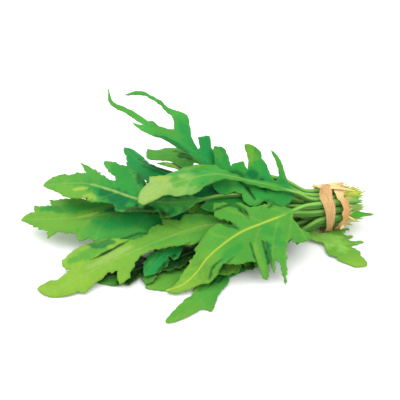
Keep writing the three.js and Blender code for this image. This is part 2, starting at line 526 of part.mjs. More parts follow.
// True if a spot is inside a flat outline and clear of its edges
function wellInside(outline, spot, margin) {
  let inside = false;
  for (let i = 0, j = outline.length - 1; i < outline.length; j = i, i += 1) {
    const [a, b] = [outline[j], outline[i]];
    if ((a[1] > spot[1]) !== (b[1] > spot[1])
      && spot[0] < a[0] + (b[0] - a[0]) * (spot[1] - a[1]) / (b[1] - a[1])) inside = !inside;
    const run = [b[0] - a[0], b[1] - a[1]];
    const length = run[0] ** 2 + run[1] ** 2;
    const t = ((spot[0] - a[0]) * run[0] + (spot[1] - a[1]) * run[1]) / length;
    const near = Math.min(1, Math.max(0, t));
    const gap = Math.hypot(a[0] + run[0] * near - spot[0], a[1] + run[1] * near - spot[1]);
    if (gap < margin) return false;
  }
  return inside;
}

// The leaf laid out flat: spots [along, across], how thick it is there, and triangles
function flatLeaf(leaf, rib) {
  const spots = [];
  const above = [];
  const below = [];
  const triangles = [];
  const add = (s, across, up, down) => {
    spots.push([s, across]);
    above.push(up);
    below.push(down);
    return spots.length - 1;
  };
  const stations = [];
  const station = (s) => {
    const radius = ribRadius(rib, s);
    const flat = ease(rib.bladeStart - FLATTEN_LENGTH, rib.bladeStart, s);
    const blend = (stem, blade) => stem + (blade - stem) * flat;
    const edge = blend(STEM_EDGE * radius, HALF_BLADE);
    const ridge = blend(radius, HALF_BLADE + RIDGE * radius);
    const keel = blend(radius, HALF_BLADE + KEEL * radius);
    const side = radius * RIB_SIDE;
    stations.push([add(s, -side, edge, edge), add(s, 0, ridge, keel), add(s, side, edge, edge)]);
  };
  const straightStations = STRAIGHT.map((x) => leaf.cut - x);
  const straightEnd = straightStations.at(-1);
  const stemCount = Math.max(1, Math.round((rib.bladeStart - straightEnd) / STEM_STEP));
  [0, ...straightStations].forEach(station);
  for (let i = 1; i < stemCount; i += 1) {
    station(straightEnd + (rib.bladeStart - straightEnd) * i / stemCount);
  }
  const firstBlade = stations.length;
  const ribEnd = rib.total - RIB_END_GAP;
  const ribCount = Math.round((ribEnd - rib.bladeStart) / RIB_STEP);
  for (let i = 0; i <= ribCount; i += 1) {
    station(rib.bladeStart + (ribEnd - rib.bladeStart) * i / ribCount);
  }
  for (let i = 1; i < stations.length; i += 1) {
    for (let k = 0; k < 2; k += 1) {
      const [a, b] = [stations[i - 1][k], stations[i][k]];
      const [c, d] = [stations[i - 1][k + 1], stations[i][k + 1]];
      triangles.push([a, b, d], [a, d, c]);
    }
  }
  const tip = add(rib.total, 0, HALF_BLADE, HALF_BLADE);
  const last = stations.at(-1);
  triangles.push([last[0], tip, last[1]], [last[1], tip, last[2]]);
  for (const which of [0, 1]) {
    const sign = which === 0 ? 1 : -1;
    const shoulder = stations.slice(firstBlade).map((row) => row[which === 0 ? 2 : 0]);
    const outer = sideOutline(leaf, rib, which)
      .map(([s, width]) => add(s, sign * width, HALF_BLADE, HALF_BLADE));
    const loop = [...shoulder, tip, ...outer.reverse()];
    const outline = loop.map((v) => spots[v]);
    const inner = [];
    for (let s = rib.bladeStart + INNER_STEP; s < rib.total; s += INNER_STEP) {
      for (let k = 1; k * INNER_STEP < LEAF_HALF_SPAN; k += 1) {
        const spot = [s + (k % 2) * INNER_STEP / 2 + INNER_STRAY * Math.sin(7 * s + 3 * k),
          sign * k * INNER_STEP * INNER_ROW_SHARE + INNER_STRAY * Math.sin(5 * s + 2 * k)];
        if (wellInside(outline, spot, INNER_MARGIN)) {
          inner.push(add(spot[0], spot[1], HALF_BLADE, HALF_BLADE));
        }
      }
    }
    const faces = THREE.ShapeUtils.triangulateShape(
      outline.map((spot) => new THREE.Vector2(...spot)), []);
    const wing = faces.map((face) => face.map((k) => loop[k]));
    wing.forEach((t) => {
      if (doubleArea(...t.map((v) => spots[v])) < 0) t.reverse();
    });
    inner.forEach((v) => splitRound(spots, wing, v));
    evenOut(spots, wing);
    triangles.push(...wing);
  }
  return { spots, above, below, triangles };
}

// Upper and lower points of every spot, for a lift given at each
function thicken(leaf, rib, flat, lifts) {
  const middle = flat.spots.map(([s, across], i) => {
    const p = surfacePlace(leaf, rib, s, across);
    p.z += lifts[i];
    return p;
  });
  const normals = middle.map(() => new THREE.Vector3());
  for (const [a, b, c] of flat.triangles) {
    const face = middle[b].clone().sub(middle[a]).cross(middle[c].clone().sub(middle[a]));
    [a, b, c].forEach((v) => normals[v].add(face));
  }
  normals.forEach((n) => n.normalize());
  return {
    upper: middle.map((p, i) => p.clone().addScaledVector(normals[i], flat.above[i])),
    lower: middle.map((p, i) => p.clone().addScaledVector(normals[i], -flat.below[i])),
  };
}

// Height of the pile so far, on a grid over the surface
const pileColumns = Math.round(PILE_SIZE[0] / PILE_CELL);
const pileRows = Math.round(PILE_SIZE[1] / PILE_CELL);
const pile = new Float64Array(pileColumns * pileRows);

function pileCell(x, y) {
  const column = Math.floor((x - PILE_LOW[0]) / PILE_CELL);
  const row = Math.floor((y - PILE_LOW[1]) / PILE_CELL);
  return row * pileColumns + column;
}

// Visit points spread over a triangle: their place and the shares of its corners
function overTriangle(corners, visit) {
  const [a, b, c] = corners;
  const longest = Math.max(a.distanceTo(b), b.distanceTo(c), c.distanceTo(a));
  const count = Math.ceil(longest / SAMPLE_STEP);
  for (let i = 0; i <= count; i += 1) {
    for (let j = 0; j <= count - i; j += 1) {
      const [u, v] = [i / count, j / count];
      const w = 1 - u - v;
      visit(a.x * w + b.x * u + c.x * v, a.y * w + b.y * u + c.y * v, a.z * w + b.z * u + c.z * v,
        w, u, v);
    }
  }
}

// Spread the highest needs over their neighbours and smooth them, less so near the tie
function soften(need, columns, rows, firstSoft) {
  const pick = (grid, radiusAt, radiusAcross, combine) => {
    const half = new Float64Array(grid.length);
    for (let i = 0; i < columns; i += 1) {
      const radius = radiusAt(i);
      for (let j = 0; j < rows; j += 1) {
        half[i * rows + j] = combine(radius, (k) => {
          const column = Math.min(columns - 1, Math.max(0, i + k));
          return grid[column * rows + j];
        });
      }
    }
    const full = new Float64Array(grid.length);
    for (let i = 0; i < columns; i += 1) {
      for (let j = 0; j < rows; j += 1) {
        full[i * rows + j] = combine(radiusAcross, (k) => {
          const row = Math.min(rows - 1, Math.max(0, j + k));
          return half[i * rows + row];
        });
      }
    }
    return full;
  };
  const radiusAt = (i) => {
    const room = Math.max(0, i - firstSoft) * SOFT_GROWTH;
    return Math.min(SOFT_ALONG / LEAF_CELL, Math.floor(room));
  };
  const acrossRadius = SOFT_ACROSS / LEAF_CELL;
  const highest = (radius, read) => {
    let best = 0;
    for (let k = -radius; k <= radius; k += 1) best = Math.max(best, read(k));
    return best;
  };
  const average = (radius, read) => {
    let sum = 0;
    for (let k = -radius; k <= radius; k += 1) sum += read(k);
    return sum / (2 * radius + 1);
  };
  return pick(pick(need, radiusAt, acrossRadius, highest), radiusAt, acrossRadius, average);
}

// Lay a leaf on the pile: raise it smoothly until nothing of it is in what lies below
function layLeaf(leaf) {
  const rib = midrib(leaf);
  const flat = flatLeaf(leaf, rib);
  const columns = Math.ceil(rib.total / LEAF_CELL) + 2;
  const rows = Math.round(2 * LEAF_HALF_SPAN / LEAF_CELL);
  let need = new Float64Array(columns * rows);
  const firstSoft = Math.round((leaf.cut + SOFT_START) / LEAF_CELL);
  const liftAt = (lift, s, across) => {
    const u = Math.min(columns - 1.001, Math.max(0, s / LEAF_CELL));
    const v = Math.min(rows - 1.001, Math.max(0, (across + LEAF_HALF_SPAN) / LEAF_CELL));
    const [i, j] = [Math.floor(u), Math.floor(v)];
    const [du, dv] = [u - i, v - j];
    const at = (k, l) => lift[(i + k) * rows + j + l];
    return at(0, 0) * (1 - du) * (1 - dv) + at(1, 0) * du * (1 - dv)
      + at(0, 1) * (1 - du) * dv + at(1, 1) * du * dv;
  };
  let skin;
  for (let pass = 0; pass < LAY_PASSES; pass += 1) {
    const lift = soften(need, columns, rows, firstSoft);
    const lifts = flat.spots.map(([s, across]) => liftAt(lift, s, across));
    skin = thicken(leaf, rib, flat, lifts);
    let worst = 0;
    const wanted = need.slice();
    for (const face of [skin.lower, skin.upper]) {
      for (const [a, b, c] of flat.triangles) {
        overTriangle([face[a], face[b], face[c]], (x, y, z, w, u, v) => {
          const ground = pile[pileCell(x, y)];
          const lack = ground + (ground > 0 ? LEAF_GAP : 0) - z;
          if (lack <= 0) return;
          const s = flat.spots[a][0] * w + flat.spots[b][0] * u + flat.spots[c][0] * v;
          const across = flat.spots[a][1] * w + flat.spots[b][1] * u + flat.spots[c][1] * v;
          const i = Math.round(s / LEAF_CELL);
          const j = Math.round((across + LEAF_HALF_SPAN) / LEAF_CELL);
          const cell = i * rows + j;
          worst = Math.max(worst, lack);
          const reached = Math.max(need[cell], liftAt(lift, s, across));
          wanted[cell] = Math.max(wanted[cell], reached + lack);
        });
      }
    }
    need = wanted;
    if (worst < LAID_WELL) break;
  }
  for (const face of [skin.upper, skin.lower]) {
    for (const [a, b, c] of flat.triangles) {
      overTriangle([face[a], face[b], face[c]], (x, y, z) => {
        const cell = pileCell(x, y);
        pile[cell] = Math.max(pile[cell], z);
      });
    }
  }
  return { flat, skin };
}

// Close the upper and lower faces with walls round the edge
function closedGeometry({ flat, skin }) {
  const count = flat.spots.length;
  const edges = new Set(flat.triangles.flatMap((t) => t.map((v, k) => v + "," + t[(k + 1) % 3])));
  const index = [];
  for (const [a, b, c] of flat.triangles) {
    index.push(a, b, c, a + count, c + count, b + count);
  }
  for (const key of edges) {
    const [a, b] = key.split(",").map(Number);
    if (!edges.has(b + "," + a)) {
      index.push(b, a, a + count, b, a + count, b + count);
    }
  }
  const geometry = new THREE.BufferGeometry();
  geometry.setFromPoints([...skin.upper, ...skin.lower]);
  geometry.setIndex(index);
  geometry.computeVertexNormals();
  return geometry;
}

function leafMesh(leaf) {
  const material = new THREE.MeshStandardMaterial({
    color: leaf.colour, roughness: 0.55, metalness: 0,
  });
  const mesh = new THREE.Mesh(closedGeometry(layLeaf(leaf)), material);
  mesh.name = leaf.name;
  return mesh;
}

// Point of a ring round the stems, at an angle from the back over the top: a rounded box that
// lies flat at the bottom
function ringPoint(x, degrees, out) {
  const angle = THREE.MathUtils.degToRad(degrees);
  const rounded = (value) => Math.sign(value) * Math.abs(value) ** (2 / WRAP_POWER);
  const y = (WRAP_HALF_WIDTH + out) * rounded(Math.cos(angle));
  const rise = (WRAP_HALF_HEIGHT + out) * rounded(Math.sin(angle));
  const lowest = -PACK_HALF_HEIGHT - STEM_RADIUS - TIE_CLEARANCE - out;
  return new THREE.Vector3(x, y, PACK_MIDDLE + Math.max(lowest, rise));
}

// Value of a turn at an angle, smoothly between the rows of its table
function turnValue(rows, degrees, column) {
  let value = rows[0][column];
  for (let i = 1; i < rows.length; i += 1) {
    const step = rows[i][column] - rows[i - 1][column];
    value += step * ease(rows[i - 1][0], rows[i][0], degrees);
  }
  return value;
}

// Solid from loops of points: a closed ring, or a bar with a cap at both ends
function loopSolid(loops, isRing) {
  const size = loops[0].length;
  const index = [];
  const last = isRing ? loops.length : loops.length - 1;
  for (let i = 0; i < last; i += 1) {
    const [here, next] = [i * size, (i + 1) % loops.length * size];
    for (let k = 0; k < size; k += 1) {
      const after = (k + 1) % size;
      index.push(here + k, next + after, next + k, here + k, here + after, next + after);
    }
  }
  if (!isRing) {
    const far = (loops.length - 1) * size;
    for (let k = 1; k < size - 1; k += 1) {
      index.push(0, k + 1, k, far, far + k, far + k + 1);
    }
  }
  return new wasm.Manifold(new wasm.Mesh({
    numProp: 3,
    vertProperties: Float32Array.from(loops.flat().flatMap((p) => p.toArray())),
    triVerts: Uint32Array.from(index),
  }));
}

// A turn of raffia with pleats on its outer side, which are pressed flat on the floor
function turnSolid(rows, pleats, thick) {
  const loops = [];
  for (let i = 0; i < TIE_SIDES; i += 1) {
    const degrees = 360 * (i + 0.5) / TIE_SIDES;
    const down = -Math.sin(THREE.MathUtils.degToRad(degrees));
    const pleat = 1 - ease(FLAT_FROM, FLAT_TO, down);
    const middle = turnValue(rows, degrees, 1);
    const half = turnValue(rows, degrees, 2);
    const inside = [-1, 1].map((side) => ringPoint(middle + side * half, degrees, 0));
    const outside = pleats.map(([share, groove]) => (
      ringPoint(middle + share * half, degrees, thick - groove * pleat)));
    loops.push([...inside, ...outside.reverse()]);
  }
  return loopSolid(loops, true);
}

// A loose strand of raffia through points, each with half its width there
function strandSolid(knots) {
  const points = knots.map(([x, y, z]) => new THREE.Vector3(x, y, z));
  const curve = new THREE.CatmullRomCurve3(points, false, "centripetal");
  const count = (knots.length - 1) * STRAND_STEPS;
  const loops = [];
  for (let i = 0; i <= count; i += 1) {
    const t = i / count;
    const run = t * (knots.length - 1);
    const k = Math.min(knots.length - 2, Math.floor(run));
    const half = knots[k][3] + (knots[k + 1][3] - knots[k][3]) * (run - k);
    const centre = curve.getPoint(t);
    const along = curve.getTangent(t);
    const side = new THREE.Vector3(...STRAND_SIDE).cross(along).normalize();
    const up = along.clone().cross(side);
    loops.push([[-1, -1], [1, -1], [1, 1], [-1, 1]].map(([a, b]) => centre.clone()
      .addScaledVector(side, a * half).addScaledVector(up, b * STRAND_THICK / 2)));
  }
  return loopSolid(loops, false);
}

// The raffia tie: a pleated band, a slanting second turn, a folded curl and loose ends
function tieMesh() {
  const turns = turnSolid(BAND, BAND_PLEATS, TIE_THICK).add(turnSolid(TURN, TURN_PLEATS, TURN_THICK));
  const joined = STRANDS.reduce((solid, knots) => solid.add(strandSolid(knots)), turns);
  const made = joined.getMesh();
  const geometry = new THREE.BufferGeometry();
  geometry.setAttribute("position", new THREE.BufferAttribute(made.vertProperties, 3));
  geometry.setIndex(new THREE.BufferAttribute(made.triVerts, 1));
  geometry.computeVertexNormals();
  const material = new THREE.MeshStandardMaterial({ color: TIE_COLOUR, roughness: 0.8, metalness: 0 });
  const mesh = new THREE.Mesh(geometry, material);
  mesh.name = "raffia_tie";
  return mesh;
}

const bunch = new THREE.Group();
LEAVES.forEach((leaf) => bunch.add(leafMesh(leaf)));

bunch.add(tieMesh());
bunch.position.x = -TIE_X;

export default bunch;
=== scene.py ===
"""Arugula bunch: 24 fine lobed leaves and a raffia tie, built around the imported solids.

The shapes are worked out in millimetres in the bunch's own frame, where the leaves fan out
towards -X and the cut stems point to +X. They are moved by BUNCH_X and turned to metres when a
mesh is made.
"""

import json
import math

import bpy
import numpy as np
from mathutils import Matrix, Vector
from mathutils.geometry import delaunay_2d_cdt


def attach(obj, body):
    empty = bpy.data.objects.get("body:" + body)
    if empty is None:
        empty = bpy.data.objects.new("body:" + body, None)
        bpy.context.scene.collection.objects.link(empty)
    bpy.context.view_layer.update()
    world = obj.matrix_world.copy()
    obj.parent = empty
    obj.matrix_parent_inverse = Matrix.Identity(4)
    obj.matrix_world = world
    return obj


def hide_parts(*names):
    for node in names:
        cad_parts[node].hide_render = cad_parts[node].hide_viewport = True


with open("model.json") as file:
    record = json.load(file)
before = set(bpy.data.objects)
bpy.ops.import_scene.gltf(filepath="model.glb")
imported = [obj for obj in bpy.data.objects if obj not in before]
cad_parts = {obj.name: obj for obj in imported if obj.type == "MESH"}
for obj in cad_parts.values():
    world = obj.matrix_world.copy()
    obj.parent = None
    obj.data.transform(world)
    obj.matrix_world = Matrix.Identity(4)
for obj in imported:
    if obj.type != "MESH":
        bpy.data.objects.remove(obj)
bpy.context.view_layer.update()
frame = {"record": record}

MM = 0.001
BUNCH_X = 7.5

# Least length to divide by, spots worked on at a time, and where the random draws start
TINY = 1e-9
CHUNK = 800
LEAF_SEED = 100
TIE_SEED = 7

# Camera: turn and rise in degrees, how far off, and what it looks at, from the bunch's origin
CAMERA_TURN = -15
CAMERA_RISE = 35
CAMERA_AWAY = 614
LOOK_RIGHT = -85.2
LOOK_UP = 14.3
CAMERA_LENS = 85
CAMERA_SENSOR = 36

# Stage and light, in metres and watts. The set is so bright that its floor is white on screen,
# and all paint is darker by a share to make up for it.
FLOOR_HALF = 3
FLOOR_DROP = 0.0002
FLOOR_WHITE = 0.9
FLOOR_ROUGHNESS = 0.9
LIGHT_SHARE = 1.5
PAINT_SHARE = 0.73
SKY_POWER = 0.78
KEY_PLACE = (-0.6, 0.4, 1.1)
KEY_POWER = 7
FILL_PLACE = (0.6, -0.7, 0.9)
FILL_POWER = 4
LIGHT_SIZE = 1.4
LIGHT_AIM = (-0.08, 0, 0)

# Stems and how they are packed in the tie
STEM_RADIUS = 2.2
STEM_PITCH = 4.8
ROW_RISE = 4.16
ROW_COUNTS = (4, 5, 6, 5, 4)
STRAIGHT = (8, -2, -12)
TAPER_FROM = 30
TAPER_LENGTH = 10
CUT_SPLAY = 0.2
CURVE_STEPS = 40

# Torn ends of the stems: how far they go past the solid stem, their ragged length, and how deep
# and how short their teeth are as shares of that length
FRAY_OUT = 2
FRAY_LENGTH = 11
FRAY_TEETH = 3
FRAY_SHIFT = 0.15
FRAY_TIPS = (0, 0.45)
FRAY_NOTCHES = (0.5, 0.8)
FRAY_THICK = 0.3
FRAY_FADE = 2
FRAY_STEP = 0.7
FRAY_RISE = 0.7
FRAY_WAVE = 2
FRAY_TWIST = 60

# Raffia tie: a rounded box round the stems, that lies flat at the bottom
TIE_CLEARANCE = 0.35
TIE_THICK = 1.4
TIE_X = -7.5
WRAP_HALF_WIDTH = 14.65
WRAP_HALF_HEIGHT = 11.95
WRAP_POWER = 2.4
REST_HEIGHT = STEM_RADIUS + TIE_CLEARANCE + TIE_THICK
PACK_HALF_HEIGHT = ROW_RISE * (len(ROW_COUNTS) - 1) / 2
PACK_MIDDLE = REST_HEIGHT + PACK_HALF_HEIGHT

# Rows of a turn: (angle from the back over the top, middle in x, half the width)
BAND = [(0, -4.5, 4), (65, -3.2, 4.2), (112, -7.6, 4.1), (128, -7.4, 3.7), (178, -7.5, 2.8),
    (192, -7.4, 2.2), (215, -7.4, 2.2), (240, TIE_X, 3.2), (300, TIE_X, 3.6), (360, -4.5, 4)]
TURN = [(0, 2, 2), (65, 4, 4.5), (90, 3.3, 3.5), (115, 1.6, 2.2), (128, 3.2, 2.4), (150, 3.4, 1.9),
    (163, 2.4, 2.3), (178, 2.9, 1.9), (192, 0.7, 1.8), (215, -1, 1.5), (300, -1, 1.6), (360, 2, 2)]
RAFFIA_STEP = 0.5
RAFFIA_BASE = 0.4
RAFFIA_RAGGED = 0.05
RAGGED_RUN = 5
EDGE_THINNING = 0.9
# painted shade on the raffia's hidden underside
UNDER_SHADE = 0.3
BAND_THICK = 0.95
BAND_PLEATS = 9
BAND_COLUMNS = 61
TURN_THICK = 0.6
TURN_CLIMB = 0.6
TURN_PLEATS = 6
TURN_COLUMNS = 37
WRAP_STEP = 0.5
TURN_MEETS = (-1, 1.5)
PALE_FROM = (105, 135)
PALE_IN_BAND = 0.25
PLEAT_DEPTH = 0.5
FOLD_SHARPNESS = 0.7
PLEAT_DRIFT = 0.25
DRIFT_RUN = 7
PLEAT_SWAY = 0.2
SWAY_RUN = 17
FINE_SHARE = 0.25
FINE_RATIO = 3.1
STRAND_THICK = 0.8
STRAND_SIDE = (0.2, -0.3, 1)
STRAND_COLUMNS = 9
STRAND_STEPS = 24
STRAND_PLEATS = 2.5
STRAND_RIDGES = 0.4

# Fibres on the band and off the second turn: how many, from which angle, how far and how thick
BAND_FIBRES = 40
BAND_FIBRE_STEPS = 24
BAND_FIBRE_FROM = (5, 300)
BAND_FIBRE_SPAN = (15, 60)
BAND_FIBRE_LAST = 358
BAND_FIBRE_SIDE = 1.05
BAND_FIBRE_SWAY = 0.2
BAND_FIBRE_LIFT = 0.6
BAND_FIBRE_SIZE = (0.1, 0.17)
TURN_FIBRES = 44
TURN_FIBRE_STEPS = 12
TURN_FIBRE_FROM = (65, 200)
TURN_FIBRE_SLANT = 14
TURN_FIBRE_SIDE = (-0.2, 0.8)
TURN_FIBRE_LENGTH = (2, 6.5)
TURN_FIBRE_LIFT = (0.2, 1.6)
TURN_FIBRE_SIZE = (0.12, 0.24)
FIBRE_SIDES = 5
FIBRE_END = 0.15
FIBRE_POINT = 0.02
FIBRE_SHADES = (0.2, 1)

# Loose strands of the tie, as points (x, y, z, half the width)
STRANDS = [
    [(-6.5, 5.5, 24.9, 1.3), (-9, 6, 25.6, 1.2), (-11, 6.4, 26.4, 1.1), (-12, 6.4, 25.9, 1),
        (-11.4, 6.2, 25.2, 0.9), (-10.2, 6, 25.3, 0.6)],
    [(-2, 2.5, 25.4, 1.2), (2, 0, 26.4, 1.1), (5.5, -2.2, 26.6, 0.9), (9, -4.4, 26.4, 0.6),
        (12, -6, 25.8, 0.3)],
    [(4, -15.4, 14.5, 0.8), (6.4, -17, 13.4, 0.8), (8.6, -17.6, 12, 0.4)],
    [(1.5, -15.2, 8.6, 0.8), (0.4, -16.2, 7.4, 1.1), (-0.9, -16, 6.3, 1), (-0.2, -15.4, 5.4, 0.6)],
]

# Blades
HALF_BLADE = 0.2
EDGE_SHARE = 0.985
STEM_COLUMNS = (-60, -40, -20, 0, 20, 40, 60)
RIB_COLUMNS = (-0.7, -0.35, 0, 0.35, 0.7)
STEM_STEP = 2
STEM_EDGE = 0.17
RIB_STEP = 1
RIB_END_GAP = 3
RIB_END_RADIUS = 0.45
RIB_END_FADE = 8
RIB_THINNING = 1.5
RIB_WIDTH = 0.75
RIDGE = 0.2
KEEL = 0.75
BLADE_RIB_RADIUS = 1.3
RIB_SIDE = 0.866
FLATTEN_LENGTH = 12
OUTLINE_STEP = 0.6
EDGE_BULGE = 0.35
BULGE_SHARE = 0.06
ROUND_PASSES = 4
ROUND_NOTCH = 0.3
ROUND_TIP = 0.06
LEAST_WIDTH = 0.35
EDGE_WOBBLE = 0.08
TOOTH_SPAN = 4
TOOTH_SIZE = 1.6
TOOTH_SLANT = 1.5
TOOTH_ROOT = 0.3
TEETH_FROM = (2, 6)
SMOOTH_TEETH = 0.35
SMOOTH = ("leaf_comb_back", "leaf_tendril", "leaf_flat_tip", "leaf_arch", "leaf_low_front")
BLADE_STEP = 0.85
HIDDEN_STEP = 1.15
HIDDEN = ("leaf_floor_dark", "leaf_shade", "leaf_under_left", "leaf_under_middle", "leaf_under_right",
    "leaf_inner_fill", "leaf_inner_tip", "leaf_rear_floor", "leaf_floor_pale")
HALF_ROWS = 60
ROW_SHARE = 0.866
GRID_STIR = 0.12
CLEAR_CELL = 0.4
MERGE_GAP = 1e-5
WAVE_LENGTH = 27
WAVE_GROWTH = 1.5
WAVE_SHIFT = 2
CURL_WIDTH = 20

# Veins and the puffed blade between them
VEIN_STEP = 0.8
VEIN_WIDTH = 0.5
VEIN_DIP = 0.1
VEIN_KEEL = 0.25
VEIN_LEAN = 0.5
VEIN_REACH = 0.9
VEIN_FOOT = 2
VEIN_CLEAR = 1.2
LEAST_LOBE = 5
PUFF_HEIGHT = 0.3
PUFF_WIDTH = 2.4
PUFF_EDGE = 2
EDGE_RIPPLE = 0.3
EDGE_WIDTH = 4
RIPPLE_SIZE = 9
SWELL_HEIGHT = 0.35
SWELL_SIZE = 26
SWELL_FROM = (2, 10)
PATTERN_WAVES = 6
PATTERN_SPREAD = (0.7, 1.6)

# Laying each leaf on the ones below
PILE_CELL = 0.5
PILE_LOW = (-230, -100)
PILE_SIZE = (290, 210)
LEAF_CELL = 2
LEAF_HALF_SPAN = 50
SOFT_ALONG = 14
SOFT_ACROSS = 10
SOFT_START = 14
SOFT_GROWTH = 0.5
LEAF_GAP = 0.35
LAY_PASSES = 16
LAID_WELL = 0.02
LAST_CELL = 1.001
TIED_LENGTH = 12

# Greens, from dark to light, and the other colours, as they should be on screen
# night and deep are painted shade for gaps and leaf edges; sun is a painted highlight
TONES = {
    "night": (16, 48, 18),
    "deep": (24, 74, 30),
    "bottle": (16, 92, 44),
    "teal": (10, 112, 58),
    "jade": (38, 148, 72),
    "green": (52, 150, 62),
    "mid": (74, 164, 70),
    "leaf": (84, 160, 62),
    "lime": (112, 172, 62),
    "bright": (138, 184, 64),
    "pale": (154, 190, 98),
    "yellow": (192, 214, 74),
    "sun": (160, 194, 76),
    "stem": (146, 206, 92),
    "cut": (196, 212, 120),
    "flake": (190, 205, 80),
    "fresh": (130, 190, 90),
    "grass": (80, 172, 50),
    "straw_dark": (176, 108, 62),
    "straw": (248, 198, 136),
    "straw_orange": (230, 162, 84),
    "straw_pale": (255, 230, 160),
}
SCREEN_GAMMA = 2.2
